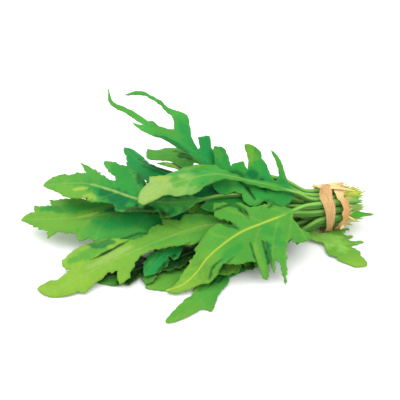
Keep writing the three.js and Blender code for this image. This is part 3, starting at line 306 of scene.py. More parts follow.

# Painted marks on the leaves: a tone, how strongly it covers, half its width, and its line as
# (share of the blade, distance from the rib, which is below zero to the back)
# Besides colour patches, night and deep marks are painted shade, sun marks are painted highlights, and some
# light marks brighten leaves that lie in shade, as painted light
MARKS = {
    "leaf_side_curl": [
        # painted light: a lighter patch on the foot where the tie's shadow falls
        ("stem", 0.9, 8, [(-0.3, 1), (0.5, 2)]),
    ],
    "leaf_low_front": [
        ("bottle", 0.9, 2, [(0.55, -2), (0.45, 1)]),
        ("teal", 0.8, 2, [(0.45, -3), (0.4, 0)]),
        ("leaf", 0.6, 2.5, [(0.95, -2), (0.8, -1)]),
        ("bright", 0.8, 2, [(0.72, -7), (0.58, -7)]),
    ],
    "leaf_floor_dark": [
        ("leaf", 0.9, 3, [(0.97, 3), (0.82, 2)]),
        ("leaf", 0.9, 3, [(0.72, 11), (0.55, 11)]),
    ],
    "leaf_under_middle": [
        # painted light: a lighter patch on this leaf where it lies in shade
        ("bright", 1, 3, [(0.65, -8), (0.5, -8)]),
    ],
    "leaf_under_left": [
        # painted light: a lighter patch on this leaf where it lies in shade
        ("lime", 0.9, 5, [(0.9, 5), (0.4, -3)]),
    ],
    "leaf_strip": [
        # painted light: a lighter patch on this leaf where it lies in shade
        ("bright", 0.9, 2.5, [(0.64, -4), (0.48, 0)]),
        ("leaf", 0.7, 0.8, [(0.95, -3), (0.7, -3)]),
        # painted shade: a dark line in a gap
        ("night", 0.9, 1, [(0.9, 5), (0.6, 6)]),
    ],
    "leaf_wide_low": [
        # painted light: a lighter foot where the leaf lies in shade
        ("lime", 0.9, 3, [(0.17, 3), (0, 2)]),
        ("lime", 0.8, 2.5, [(0.78, -16), (0.64, -15)]),
        ("green", 0.8, 3.5, [(0.9, -9), (0.6, -8)]),
        ("lime", 0.8, 4, [(0.9, 0), (0.8, 4), (0.65, 5)]),
        # painted highlight
        ("sun", 0.8, 1, [(0.7, 0), (0.6, -2)]),
        ("jade", 0.8, 4, [(0.6, 6), (0.45, 12)]),
        ("teal", 0.9, 3, [(0.55, -3), (0.4, 0)]),
        ("jade", 0.9, 4, [(0.48, 5), (0.35, 11)]),
        # painted shade: the dark zone under the leaves above
        ("bottle", 0.8, 3.5, [(0.36, 1), (0.2, 6)]),
        ("mid", 0.8, 3, [(0.6, 16), (0.35, 19)]),
        # painted shadow: a thin dark line where the next leaf's edge lies over this one
        ("bottle", 0.9, 0.8, [(0.5, 21), (0.35, 20)]),
    ],
    "leaf_long_pale": [
        ("leaf", 0.8, 3.5, [(0.8, -14), (0.65, -11)]),
        ("teal", 0.8, 2.5, [(0.7, -19), (0.6, -12)]),
        # painted shadow: a dark line along an edge that lies over the blade
        ("night", 1, 0.8, [(0.73, -8), (0.55, -8)]),
        ("pale", 0.7, 2, [(0.75, -3), (0.55, -4)]),
        ("lime", 0.8, 3.5, [(0.5, -4), (0.2, 1)]),
        # painted shade: a short dark line in a gap
        ("night", 0.8, 0.6, [(0.35, 10), (0.3, 8)]),
        ("leaf", 0.6, 2, [(0.5, 0), (0.35, 2)]),
    ],
    "leaf_dark_back": [
        ("jade", 0.7, 2.5, [(0.95, 1), (0.7, 2)]),
        ("teal", 0.9, 3, [(0.7, 0), (0.45, -2)]),
        # painted shade: a dark line along a fold
        ("night", 0.7, 0.7, [(0.8, -2), (0.5, -6)]),
        # painted shade: a dark patch in the gap between leaves
        ("night", 0.9, 3, [(0.32, 10), (0.25, 10)]),
    ],
    "leaf_wide_back": [
        ("lime", 0.8, 5, [(0.9, 4), (0.75, 10), (0.6, 11)]),
        # painted highlights: light yellow patches, here and on the next line
        ("sun", 0.9, 1.2, [(0.8, 6), (0.7, 4)]),
        ("sun", 0.6, 3, [(0.7, 12), (0.6, 11)]),
        ("green", 0.8, 2.5, [(0.7, 16), (0.55, 14)]),
        ("teal", 1, 5, [(0.62, 3), (0.4, 4)]),
        ("teal", 0.8, 3, [(0.5, 11), (0.4, 9)]),
        ("leaf", 0.6, 3, [(0.8, -15), (0.65, -2)]),
        ("green", 0.7, 5, [(0.65, -16), (0.45, -7)]),
        ("bottle", 0.9, 4, [(0.5, -20), (0.3, -12)]),
        # painted shade: a dark patch where the leaf lies in the shade of others
        ("night", 0.95, 4.5, [(0.38, 9), (0.2, 11)]),
        ("mid", 0.9, 4.5, [(0.26, 1), (0, 1)]),
        ("pale", 0.8, 0.7, [(0.7, 0), (0.35, 0)]),
    ],
    "leaf_flat_tip": [
        ("leaf", 0.6, 2.5, [(0.9, -4), (0.8, -1)]),
        ("deep", 0.9, 3, [(0.7, -3), (0.55, 2)]),
        # painted shade and painted highlight: a dark line with a light strip beside it
        ("night", 0.8, 0.6, [(0.85, 6), (0.6, 14)]),
        ("sun", 0.8, 1, [(0.85, 8), (0.65, 15)]),
    ],
    "leaf_tendril": [
        ("leaf", 0.7, 1.6, [(0.6, 1), (0.4, -3)]),
        ("teal", 0.8, 1.8, [(0.55, 6), (0.35, 4)]),
        ("bottle", 0.9, 3, [(0.4, 7), (0.3, 6)]),
        ("leaf", 0.6, 1.2, [(0.85, 0), (0.65, 0)]),
        ("jade", 0.6, 2.5, [(0.45, -10), (0.4, -6)]),
        ("jade", 0.8, 3, [(0.25, -12), (0.15, -3)]),
    ],
    "leaf_comb_back": [
        ("mid", 0.9, 4, [(0.7, 6), (0.5, 16), (0.3, 16)]),
        # painted shade: dark lines along lobe edges, here and on the next line
        ("night", 0.9, 1, [(0.65, 2), (0.55, 6), (0.45, 13)]),
        ("night", 0.9, 0.7, [(0.4, 16), (0.3, 12), (0.2, 15)]),
        ("bottle", 0.9, 2.5, [(0.4, -2), (0.35, 6)]),
        ("green", 0.8, 3, [(0.3, 12), (0.1, 8)]),
        ("lime", 0.85, 3, [(0.6, -22), (0.55, -12)]),
        ("leaf", 0.7, 1.8, [(0.5, -20), (0.5, -14)]),
        ("teal", 0.9, 3, [(0.55, -6), (0.45, -2)]),
        ("jade", 0.7, 2, [(0.4, -12), (0.3, 0)]),
        ("leaf", 0.6, 2.2, [(0.9, -19), (0.85, -11)]),
        ("bottle", 0.7, 2, [(0.75, -4), (0.6, -2)]),
        ("leaf", 0.7, 2, [(0.35, -22), (0.2, -13), (0.1, -4)]),
    ],
    "leaf_arch": [
        ("pale", 1, 7, [(0.96, -3), (0.87, 0)]),
        ("mid", 0.9, 4, [(0.78, -9), (0.66, -9)]),
        ("leaf", 0.8, 4, [(0.74, -4), (0.7, 4)]),
        # painted highlight
        ("sun", 0.6, 1.6, [(0.85, -10), (0.75, -6)]),
        ("lime", 0.6, 1.8, [(0.65, -10), (0.5, -12)]),
        ("mid", 0.7, 3, [(0.65, 4), (0.45, -3)]),
        ("green", 0.8, 3, [(0.4, -2), (0.1, 1)]),
        # painted shade: a dark line along a fold
        ("night", 0.8, 0.6, [(0.6, 10), (0.45, 5), (0.3, 3)]),
    ],
    "leaf_top_front": [
        ("bright", 0.6, 3, [(0.95, 1), (0.8, 3)]),
        ("lime", 0.6, 4, [(0.65, -2), (0.65, 4)]),
        ("green", 0.7, 2.4, [(0.6, 8), (0.45, 6)]),
        ("green", 0.6, 3.5, [(0.25, 2), (0.2, 8), (0.2, 17)]),
        ("jade", 0.7, 2, [(0.65, 8), (0.6, 14)]),
        # painted shade: thin dark lines along lobe edges, here and on the next line
        ("bottle", 0.9, 0.7, [(0.6, 7), (0.7, 6), (0.75, 8)]),
        ("bottle", 0.8, 0.6, [(0.75, 12), (0.65, 11), (0.5, 10)]),
        ("lime", 0.7, 2, [(0.35, 10), (0.4, 30)]),
        # painted shade: a thin dark line along a lobe edge
        ("bottle", 0.9, 0.8, [(0.38, 8), (0.43, 25)]),
        ("teal", 0.9, 2.2, [(0.28, 12), (0.32, 28)]),
        # painted shade: dark lines along lobe edges and folds, to the end of this list
        ("night", 0.9, 0.6, [(0.3, 10), (0.33, 28)]),
        ("bottle", 0.9, 1.2, [(0.45, -12), (0.4, -3)]),
        ("night", 0.9, 0.8, [(0.45, -20), (0.35, -20), (0.3, -14), (0.3, -6)]),
        ("night", 0.9, 0.8, [(0.15, -8), (0.1, -10), (0.05, -6)]),
    ],
}
MARK_EDGE = 0.4
MARK_SOFTNESS = 0.35
MARK_WIDEST = 1.2
MARK_TAPER = 0.7
MARK_STIR = 0.3

# Uneven paint, as layers of (size of the patches, strength)
MARK_LAYERS = ((7, 1), (3, 0.5))
DRIFT_LAYERS = ((30, 0.04), (11, 0.015))
LIGHT_LAYERS = ((24, 0.05), (6, 0.02))

# Shares of other tones in a leaf's paint, and from where to where along or across they fade
MARGIN_SHARE = 0.25
MARGIN_WIDTH = 1.6
STEM_SHARE = 0.85
# STEM_SHADE and FLANK paint shade on the stems' sides; BETWEEN_SHADE and BETWEEN_EDGE paint shade where the
# stems pass through the tie
STEM_SHADE = 0.75
FLANK = (0.6, 0.95)
BETWEEN_SHADE = 0.6
BETWEEN_EDGE = 3
CUT_FADE = (12, 20)
STRONG_RIB = 0.95
FAINT_RIB = 0.5
RIB_LINE = 0.5
RIB_FROM = (0, 0.18)
VEIN_SHARE = 0.14
UNDER_SHARE = 0.25

# Skins: scale and strength of their grain, of the leaves' net of small veins and of their relief
GRAIN_SPAN = (0.3, 0.7)
LEAF_GRAIN = 420
LEAF_GRAIN_DETAIL = 4
LEAF_GRAIN_TONES = (0.95, 1.04)
LEAF_SHIFT = 0.2
NET_SCALE = 520
NET_WIDTH = 0.09
NET_SHARE = 0.08
LEAF_BUMP = 0.35
LEAF_ROUGHNESS = {"pale_leaf": 0.5, "green_leaf": 0.46, "deep_leaf": 0.42}
SATIN = 0.08
DULL = 0.12
LEAF_SPECULAR = 0.07
RAFFIA_GRAIN = 3200
RAFFIA_GRAIN_DETAIL = 3
RAFFIA_GRAIN_TONES = (0.78, 1.12)
PIECE_SHIFT = 0.1
GRAIN_STRETCH = 0.06
RAFFIA_BUMP = 0.5
RAFFIA_ROUGHNESS = (0.6, 0.85)
RAFFIA_SPECULAR = 0.25
BUMP_DEPTH = 0.0002

# The made-up edges of hidden leaves draw on the same simple random numbers as the source
RANDOM_FACTOR = 1664525
RANDOM_STEP = 1013904223
RANDOM_RANGE = 2**32


def tone(name):
    """A named colour, from screen values to linear ones, for a set that is lit brightly"""
    return PAINT_SHARE * (np.array(TONES[name]) / 255) ** SCREEN_GAMMA


def blend(below, above, share):
    """What lies below, covered by a share of what is above"""
    return below * (1 - share) + above * share


def lobed_edge(seed, count, reach, head):
    """Edge of a blade that has like lobes and a head, each lobe a little different

    Places are shares of the blade, and widths are shares of a lobe's reach or of the head.
    """
    state = seed

    def random():
        nonlocal state
        state = (state * RANDOM_FACTOR + RANDOM_STEP) % RANDOM_RANGE
        return state / RANDOM_RANGE

    spacing = 0.64 / count
    neck = 0.25 * reach
    points = [(0.04, 1)]
    for i in range(count):
        start = 0.06 + spacing * (i + 0.1 + 0.1 * random())
        out = reach * (0.75 + 0.25 * (i + random()) / count)
        step = spacing * (0.62 + 0.1 * random())
        points += [(start, neck), (start + 0.35 * step, 0.75 * out), (start + 0.8 * step, out),
            (start + 1.05 * step, 0.9 * out), (start + step, neck)]
    wobble = 0.9 + 0.2 * random()
    points += [(0.72, 0.8 * head), (0.78, head), (0.81, 0.75 * head), (0.86, 0.8 * head * wobble),
        (0.93, 0.45 * head)]
    return points


# Leaves, from the bottom of the pile to its top. A slot is the row in the tie and the place in
# the row, counted from the front. A path holds the midrib's points from the tie to the tip.
# Roll is at the blade's foot and tip; fold and curl are to the front and the back, in degrees.
# Front and back are the blade's two edges: (share of the blade, width from the rib).
# Tones are the blade's colours from its foot to its tip. What a leaf leaves out is as in PLAIN.
# The darker feet of the tones are partly painted shade inside the bunch.
PLAIN = dict(roll=(0, 0), fold=(3, 3), curl=(0, 0), wave=0.8, rib_tone="leaf", end_tone="cut")
LEAVES = [
    dict(PLAIN,
        name="leaf_side_curl", slot=(0, 0), cut=11, blade=17,
        path=[(-15, -8.4, 3.7), (-17, -11.5, 3.2), (-15.5, -16.5, 2.6), (-9.5, -23.5, 2),
            (-4, -32, 1.4), (4, -48.5, 0.5)],
        wave=0.5,
        front=[(0.05, 2), (0.13, 4.5), (0.21, 8), (0.28, 11), (0.34, 16.6), (0.39, 20), (0.38, 16),
            (0.38, 13), (0.42, 12), (0.5, 16), (0.46, 10.5), (0.49, 9.6), (0.56, 12), (0.65, 17),
            (0.61, 10.5), (0.58, 7), (0.62, 5.8), (0.7, 6.2), (0.78, 6.4), (0.76, 4.4), (0.84, 3.6),
            (0.9, 3), (0.96, 2.4)],
        back=[(0.06, 4.5), (0.14, 4.5), (0.2, 3), (0.27, 2), (0.36, 5.2), (0.43, 8.2), (0.51, 9.6),
            (0.6, 8), (0.66, 9), (0.74, 8.4), (0.82, 7), (0.91, 6), (0.96, 3.5)],
        tones="lime lime lime bright", rib_tone="lime",
    ),
    dict(PLAIN,
        name="leaf_low_front", slot=(0, 1), cut=10, blade=50,
        path=[(-30, -8, 3), (-56, -20, 2), (-80, -33, 1.5), (-91, -42, 1.2), (-106, -54, 0.8),
            (-126, -67, 0.2)],
        front=[(0.06, 3), (0.13, 8), (0.21, 9.5), (0.28, 6), (0.35, 6), (0.43, 3.6), (0.49, 6),
            (0.56, 6.2), (0.62, 7.2), (0.69, 10), (0.75, 12.4), (0.75, 9), (0.77, 6.2), (0.83, 5.6),
            (0.92, 3.6), (0.98, 1.2)],
        back=[(0.05, 2), (0.1, 7), (0.2, 13), (0.25, 12), (0.24, 6), (0.3, 6), (0.38, 12), (0.44, 12),
            (0.45, 7), (0.56, 8), (0.58, 6.6), (0.66, 6.8), (0.68, 4.8), (0.72, 4.4), (0.77, 5.8),
            (0.79, 4.6), (0.85, 4.4), (0.88, 3.4), (0.94, 2.6), (0.98, 1.8)],
        tones="green green leaf lime",
    ),
    dict(PLAIN,
        name="leaf_floor_pale", slot=(0, 2), cut=12, blade=62,
        path=[(-40, -4, 3), (-83, -16, 3), (-110, -30, 2), (-131, -34, 0.4)],
        wave=0.6,
        front=lobed_edge(11, 3, 13, 9),
        back=lobed_edge(12, 3, 14, 10),
        tones="green leaf leaf lime", rib_tone="lime",
    ),
    dict(PLAIN,
        name="leaf_floor_dark", slot=(0, 3), cut=14, blade=84,
        path=[(-40, 3, 3), (-84, -4, 3.5), (-124, -17, 2.5), (-158, -21, 0.4)],
        wave=0.6,
        front=lobed_edge(13, 3, 15, 10),
        back=lobed_edge(14, 3, 16, 10),
        # painted shade: an inner leaf painted dark for the shade in the gaps where it shows
        tones="deep deep night deep",
    ),
    dict(PLAIN,
        name="leaf_rear_low", slot=(1, 4), cut=12, blade=42,
        path=[(-28, 14, 6), (-56, 28, 4), (-84, 42, 2), (-106, 52, 0.2)],
        fold=(4, 4), curl=(4, 4),
        front=lobed_edge(29, 3, 15, 10),
        back=lobed_edge(30, 3, 16, 11),
        tones="green leaf green leaf", rib_tone="lime",
    ),
    dict(PLAIN,
        name="leaf_rear_floor", slot=(1, 3), cut=14, blade=55,
        path=[(-36, 10, 7), (-72, 20, 5), (-106, 28, 3), (-132, 32, 0.6)],
        fold=(4, 4), curl=(4, 4),
        front=lobed_edge(27, 3, 15, 10),
        back=lobed_edge(28, 4, 16, 10),
        tones="green green leaf leaf", rib_tone="lime",
    ),
    dict(PLAIN,
        name="leaf_under_left", slot=(1, 0), cut=15, blade=40,
        path=[(-28, -14, 7), (-50, -22, 6.5), (-72, -29, 5.5), (-90, -36, 4)],
        fold=(5, 5), curl=(5, 5),
        front=lobed_edge(21, 2, 11.5, 8),
        back=lobed_edge(22, 3, 14, 9),
        # painted shade: an inner leaf painted dark for the shade in the gaps where it shows
        tones="deep deep deep green",
    ),
    dict(PLAIN,
        name="leaf_under_middle", slot=(1, 1), cut=16, blade=58,
        path=[(-40, -10, 8), (-75, -13, 8), (-104, -18, 6.5), (-124, -22, 4)],
        fold=(5, 5), curl=(5, 5),
        front=lobed_edge(23, 3, 13, 8),
        back=lobed_edge(24, 3, 14, 9),
        # painted shade: an inner leaf painted dark for the shade in the gaps where it shows
        tones="deep deep night deep",
    ),
    dict(PLAIN,
        name="leaf_strip", slot=(1, 2), cut=12, blade=78,
        path=[(-40, -3, 10), (-74, -5, 13), (-96, -8, 13), (-112, -14, 10), (-130, -28, 4)],
        roll=(8, 8), fold=(6, 4), wave=0.6,
        front=lobed_edge(33, 2, 9, 7),
        back=lobed_edge(34, 2, 10, 7),
        tones="teal jade jade jade",
    ),
    dict(PLAIN,
        name="leaf_rear_right", slot=(2, 5), cut=10, blade=34,
        path=[(-24, 18, 13), (-44, 30, 13), (-62, 42, 8), (-76, 52, 2)],
        roll=(-8, -8), fold=(6, 6), curl=(8, 8),
        front=lobed_edge(39, 3, 12, 9),
        back=lobed_edge(40, 3, 13, 9),
        tones="green leaf leaf green", rib_tone="lime",
    ),
    dict(PLAIN,
        name="leaf_rear_middle", slot=(2, 4), cut=13, blade=52,
        path=[(-34, 11, 13), (-66, 23, 13), (-94, 34, 9), (-116, 42, 3)],
        roll=(-6, -6), fold=(6, 6), curl=(6, 6),
        front=lobed_edge(37, 3, 14, 10),
        back=lobed_edge(38, 3, 15, 10),
        tones="green green green leaf", rib_tone="lime",
    ),
    dict(PLAIN,
        name="leaf_under_right", slot=(2, 0), cut=20, blade=26,
        path=[(-24, -16, 12), (-38, -23, 12), (-52, -30, 9.5), (-64, -37, 5)],
        roll=(10, 10), fold=(8, 8), curl=(8, 8), wave=0.6,
        front=lobed_edge(31, 2, 9, 6),
        back=lobed_edge(32, 3, 10, 7),
        tones="teal green leaf leaf", end_tone="grass",
    ),
    dict(PLAIN,
        name="leaf_shade", slot=(2, 3), cut=14, blade=42,
        path=[(-38, 4, 13), (-70, 7, 16), (-96, 10, 18), (-118, 17, 17)],
        roll=(6, 4), fold=(6, 2), curl=(4, 4),
        front=lobed_edge(25, 3, 15, 10),
        back=lobed_edge(26, 3, 15, 10),
        # painted shade: an inner leaf painted dark for the shade in the gaps where it shows
        tones="night night deep deep", rib_tone="green",
    ),
    dict(PLAIN,
        name="leaf_wide_low", slot=(2, 2), cut=18, blade=78,
        path=[(-38, -2, 18), (-68, 3, 22), (-107, 13, 23), (-123, 18, 21), (-146, 23, 17),
            (-160, 27, 14.5), (-195, 40.5, 10)],
        roll=(12, 6), fold=(4, -4), curl=(4, 0), wave=1,
        front=[(0.05, 2), (0.1, 8), (0.2, 13), (0.23, 11), (0.22, 7), (0.28, 13), (0.34, 21),
            (0.43, 24), (0.51, 22.4), (0.57, 19.6), (0.6, 20.6), (0.64, 16.4), (0.68, 18.6), (0.7, 12),
            (0.74, 10.6), (0.79, 10.2), (0.83, 15.4), (0.84, 9.4), (0.89, 7), (0.94, 3.6), (0.97, 2)],
        back=[(0.05, 2), (0.08, 8), (0.18, 15), (0.2, 8), (0.28, 10), (0.36, 18), (0.42, 20),
            (0.43, 11), (0.52, 13), (0.62, 20), (0.66, 19), (0.67, 15), (0.73, 16), (0.8, 16.5),
            (0.88, 18), (0.86, 12), (0.92, 11), (0.95, 11.5), (0.94, 6.5), (0.98, 3)],
        tones="deep teal green leaf lime lime", rib_tone="pale",
    ),
    dict(PLAIN,
        name="leaf_inner_fill", slot=(2, 1), cut=17, blade=32,
        path=[(-30, -7, 15), (-48, -7, 20), (-66, -5, 24), (-81, -4, 24), (-94, -8, 22)],
        roll=(10, 8), fold=(8, 4), curl=(6, 2),
        front=lobed_edge(41, 3, 14, 9),
        back=lobed_edge(42, 3, 15, 10),
        tones="teal green leaf green",
    ),
    dict(PLAIN,
        name="leaf_long_pale", slot=(3, 0), cut=15, blade=60,
        path=[(-34, -12, 21), (-70, -14, 23), (-92, -12, 22), (-116, -12, 17), (-142, -15, 11),
            (-161, -18, 6), (-180, -22, 2.5), (-193, -19, 1)],
        roll=(14, 4), fold=(8, -4), curl=(4, 0), wave=1,
        front=[(0.04, 2), (0.1, 8), (0.2, 13), (0.22, 8), (0.28, 9.8), (0.34, 7.8), (0.4, 6),
            (0.48, 3.6), (0.53, 4), (0.57, 8), (0.6, 12), (0.62, 15.6), (0.67, 16), (0.65, 7),
            (0.69, 5), (0.74, 7), (0.79, 9), (0.83, 10.5), (0.84, 7.5), (0.9, 7), (0.96, 5)],
        back=[(0.05, 3), (0.16, 6), (0.24, 10), (0.29, 11), (0.31, 8.5), (0.38, 14), (0.38, 9.5),
            (0.43, 12), (0.46, 7), (0.52, 7.5), (0.56, 10), (0.62, 17), (0.67, 19.6), (0.73, 19.8),
            (0.77, 19.2), (0.83, 17.6), (0.84, 14), (0.82, 8.5), (0.89, 5.5), (0.96, 4.5)],
        tones="leaf leaf lime bright bright", rib_tone="pale", end_tone="fresh",
    ),
    dict(PLAIN,
        name="leaf_inner_tip", slot=(3, 1), cut=16, blade=36,
        path=[(-34, -5, 23), (-56, -5, 28), (-74, -3, 29), (-88, 0, 28)],
        roll=(6, 4), fold=(6, 2), curl=(4, 2), wave=0.6,
        front=[(0.1, 4), (0.28, 5), (0.42, 11), (0.5, 9), (0.62, 6), (0.8, 5), (0.93, 3)],
        back=[(0.04, 4), (0.12, 12), (0.28, 20), (0.43, 25), (0.64, 27), (0.76, 24), (0.8, 16),
            (0.86, 8), (0.95, 3)],
        tones="teal green green green", end_tone="fresh",
    ),
    dict(PLAIN,
        name="leaf_dark_back", slot=(3, 4), cut=8, blade=66,
        path=[(-34, 13, 22), (-62, 15, 27), (-83, 20, 30), (-104, 38, 33), (-115, 52, 33),
            (-121, 72, 33.5)],
        fold=(8, 8), curl=(4, 4),
        front=[(0.05, 2), (0.12, 8), (0.22, 14), (0.26, 13), (0.25, 7), (0.36, 10), (0.44, 15),
            (0.48, 14), (0.53, 14), (0.6, 11), (0.67, 9.4), (0.75, 10), (0.78, 7.5), (0.83, 5),
            (0.88, 2.6), (0.95, 2)],
        back=[(0.05, 2), (0.14, 8), (0.24, 14), (0.27, 12), (0.27, 6), (0.34, 7), (0.42, 8.5),
            (0.46, 5.5), (0.55, 3.6), (0.61, 2.3), (0.68, 3.2), (0.77, 6.1), (0.86, 5.6), (0.94, 4.4)],
        tones="teal teal jade jade", end_tone="fresh",
    ),
    dict(PLAIN,
        name="leaf_wide_back", slot=(3, 2), cut=15, blade=88,
        path=[(-36, 0, 25), (-69, 2, 30), (-109, 4, 32.5), (-123, 11, 32.5), (-139, 27, 32),
            (-150, 38, 31), (-178, 52, 26)],
        roll=(8, 4), fold=(4, -6), curl=(4, 0), wave=1,
        front=[(0.05, 2), (0.12, 7), (0.22, 12), (0.24, 7), (0.34, 8), (0.44, 13), (0.47, 9),
            (0.56, 11), (0.62, 13), (0.66, 10.5), (0.75, 13), (0.83, 12), (0.86, 10), (0.88, 7.6),
            (0.93, 4.6), (0.98, 1.6)],
        back=[(0.04, 2), (0.08, 8), (0.2, 18), (0.24, 15), (0.22, 8), (0.34, 10), (0.44, 17),
            (0.52, 21), (0.59, 22.5), (0.65, 21.3), (0.71, 21.4), (0.7, 17.6), (0.65, 13.2), (0.61, 12),
            (0.58, 9), (0.59, 6.8), (0.63, 7.2), (0.69, 9.8), (0.75, 14.2), (0.81, 19.6), (0.79, 14.6),
            (0.76, 8.8), (0.8, 9.8), (0.84, 7.6), (0.88, 7.8), (0.93, 7.4), (0.97, 5.4)],
        tones="teal teal green green leaf lime", rib_tone="pale", end_tone="fresh",
    ),
    dict(PLAIN,
        name="leaf_flat_tip", slot=(3, 3), cut=11, blade=60,
        path=[(-34, 7, 24), (-60, 22, 31), (-78, 36, 38), (-91, 41, 41), (-111.5, 46, 41)],
        fold=(4, 4), wave=0.5,
        front=[(0.1, 1), (0.22, 3), (0.34, 9), (0.38, 8), (0.38, 3), (0.52, 3.5), (0.56, 12),
            (0.64, 14.8), (0.72, 14.2), (0.81, 11.4), (0.9, 8), (0.82, 8.2), (0.76, 8.6), (0.71, 6.4),
            (0.79, 5.8), (0.9, 5), (0.96, 3.6), (0.99, 2.2)],
        back=[(0.1, 1), (0.2, 4), (0.3, 10), (0.35, 9), (0.36, 3.5), (0.5, 5), (0.6, 9), (0.72, 9.5),
            (0.88, 8), (0.99, 8.4)],
        tones="teal green leaf leaf", end_tone="flake",
    ),
    dict(PLAIN,
        name="leaf_tendril", slot=(4, 3), cut=13, blade=68,
        path=[(-30, 9, 25.5), (-52, 15, 31.5), (-66, 20, 36.8), (-78, 24, 45), (-88, 26, 55),
            (-99, 32, 63), (-110, 37, 68), (-120, 47, 73), (-130, 60, 76), (-130, 66, 81.5)],
        fold=(10, -35), wave=0.3,
        front=[(0.06, 3), (0.2, 4), (0.32, 4.6), (0.41, 5.2), (0.52, 6), (0.6, 7), (0.64, 6),
            (0.69, 5.4), (0.65, 3.4), (0.63, 1.8), (0.72, 1.4), (0.86, 1.1)],
        back=[(0.04, 2.5), (0.11, 3), (0.18, 10.2), (0.22, 16.6), (0.26, 13.8), (0.3, 9.2), (0.25, 5.6),
            (0.26, 3), (0.31, 4.4), (0.36, 7.1), (0.4, 12), (0.44, 16.6), (0.47, 16.6), (0.51, 15.6),
            (0.54, 16.2), (0.6, 17), (0.67, 17.1), (0.73, 16.3), (0.78, 14.6), (0.82, 12), (0.86, 8.8),
            (0.81, 10.8), (0.77, 12.8), (0.73, 14.4), (0.68, 15.2), (0.6, 15), (0.55, 13.6),
            (0.5, 11.6), (0.47, 7.2), (0.46, 3.8), (0.49, 2.3), (0.55, 1.8), (0.58, 2.4), (0.61, 3.2),
            (0.62, 1.8), (0.72, 1.3), (0.86, 1.1)],
        tones="teal jade mid mid leaf", end_tone="flake",
    ),
    dict(PLAIN,
        name="leaf_comb_back", slot=(4, 2), cut=18, blade=28,
        path=[(-26, 3, 26.5), (-45, 5, 33.5), (-60, 9, 37.5), (-80, 15, 38.5)],
        fold=(16, -40), curl=(8, -6), wave=0.6,
        front=[(0.02, 6), (0.08, 11), (0.2, 15.5), (0.3, 18), (0.33, 13), (0.36, 12.5), (0.42, 17),
            (0.5, 17.5), (0.57, 15), (0.6, 10), (0.68, 9), (0.8, 12), (0.88, 10), (0.95, 5)],
        back=[(0.03, 2), (0.06, 2.2), (0.13, 9.6), (0.23, 17.6), (0.34, 23.2), (0.27, 16), (0.21, 10),
            (0.19, 5.6), (0.21, 2), (0.24, 1.2), (0.29, 5), (0.34, 10), (0.4, 14), (0.44, 15.6),
            (0.46, 19.6), (0.5, 21.2), (0.55, 22.2), (0.6, 22.6), (0.63, 21.6), (0.6, 16.6), (0.57, 12),
            (0.56, 6.6), (0.6, 8.6), (0.62, 11.2), (0.67, 10), (0.73, 9), (0.74, 7), (0.76, 11),
            (0.79, 15.6), (0.82, 19), (0.88, 20.6), (0.92, 20), (0.94, 18), (0.92, 13), (0.91, 8),
            (0.95, 6)],
        tones="jade green green jade", end_tone="flake",
    ),
    dict(PLAIN,
        name="leaf_arch", slot=(4, 1), cut=19, blade=36,
        path=[(-30, -2, 29.5), (-55, 3, 39), (-77, 5, 47), (-97, 3, 47.5), (-112, 3, 44), (-126, 2, 37)],
        roll=(8, 6), fold=(10, 2), curl=(6, 4),
        front=[(0.03, 1.8), (0.1, 2.4), (0.2, 2.2), (0.29, 1.4), (0.36, 1.4), (0.43, 2.6), (0.48, 4.6),
            (0.54, 6.6), (0.59, 7.8), (0.64, 10.4), (0.68, 11), (0.7, 9), (0.75, 9.5), (0.81, 5.5),
            (0.84, 5), (0.89, 4.6), (0.94, 4), (0.98, 3)],
        back=[(0.03, 2), (0.12, 2.6), (0.22, 2), (0.3, 1.6), (0.36, 3), (0.42, 6), (0.46, 9),
            (0.54, 11), (0.6, 12), (0.66, 12), (0.73, 10), (0.79, 9.5), (0.84, 11.5), (0.865, 14.5),
            (0.88, 10), (0.95, 7.5), (0.98, 4)],
        tones="green leaf leaf green pale pale", rib_tone="pale", end_tone="flake",
    ),
    dict(PLAIN,
        name="leaf_top_front", slot=(4, 0), cut=15, blade=36,
        path=[(-29, -14, 26), (-43, -20, 26.5), (-55, -23, 26), (-71, -27, 24.5), (-82, -31, 21.5),
            (-93, -34, 15), (-101, -38, 8.5), (-109, -41, 4.5), (-121, -41.5, 2)],
        roll=(18, 12), fold=(14, -4), curl=(6, -4),
        front=[(0.02, 1.5), (0.05, 4.5), (0.045, 11), (0.02, 19.4), (0.045, 21.2), (0.09, 18.4),
            (0.115, 13.4), (0.155, 16.4), (0.205, 27.6), (0.25, 35.6), (0.27, 39.8), (0.265, 35),
            (0.25, 26), (0.27, 22.8), (0.285, 26), (0.31, 30.6), (0.31, 25), (0.3, 17), (0.29, 9),
            (0.31, 17), (0.32, 23), (0.36, 29.8), (0.41, 31.4), (0.44, 29.2), (0.42, 23.6), (0.415, 20),
            (0.43, 18.5), (0.45, 17.5), (0.48, 16.5), (0.53, 15.5), (0.575, 12), (0.61, 8.5),
            (0.675, 9.5), (0.755, 9.8), (0.8, 6.4), (0.845, 4.8), (0.89, 3.8), (0.945, 3)],
        back=[(0.02, 3), (0.05, 7), (0.15, 10), (0.215, 11), (0.26, 12.5), (0.315, 20), (0.31, 15),
            (0.305, 5.5), (0.325, 12), (0.35, 19), (0.385, 23), (0.43, 23.2), (0.46, 16), (0.415, 11),
            (0.385, 5), (0.415, 7), (0.485, 12.5), (0.55, 12.5), (0.61, 11), (0.665, 9), (0.685, 6.4),
            (0.72, 7), (0.765, 6.2), (0.855, 5), (0.89, 3.4), (0.935, 1.4)],
        tones="leaf leaf leaf lime lime", rib_tone="yellow", end_tone="fresh",
    ),
]


def ease(low, high, value):
    """Smooth step from 0 at low to 1 at high"""
    t = np.clip((value - low) / (high - low), 0, 1)
    return t * t * (3 - 2 * t)


def unit(vectors):
    return vectors / np.maximum(TINY, np.linalg.norm(vectors, axis=-1, keepdims=True))


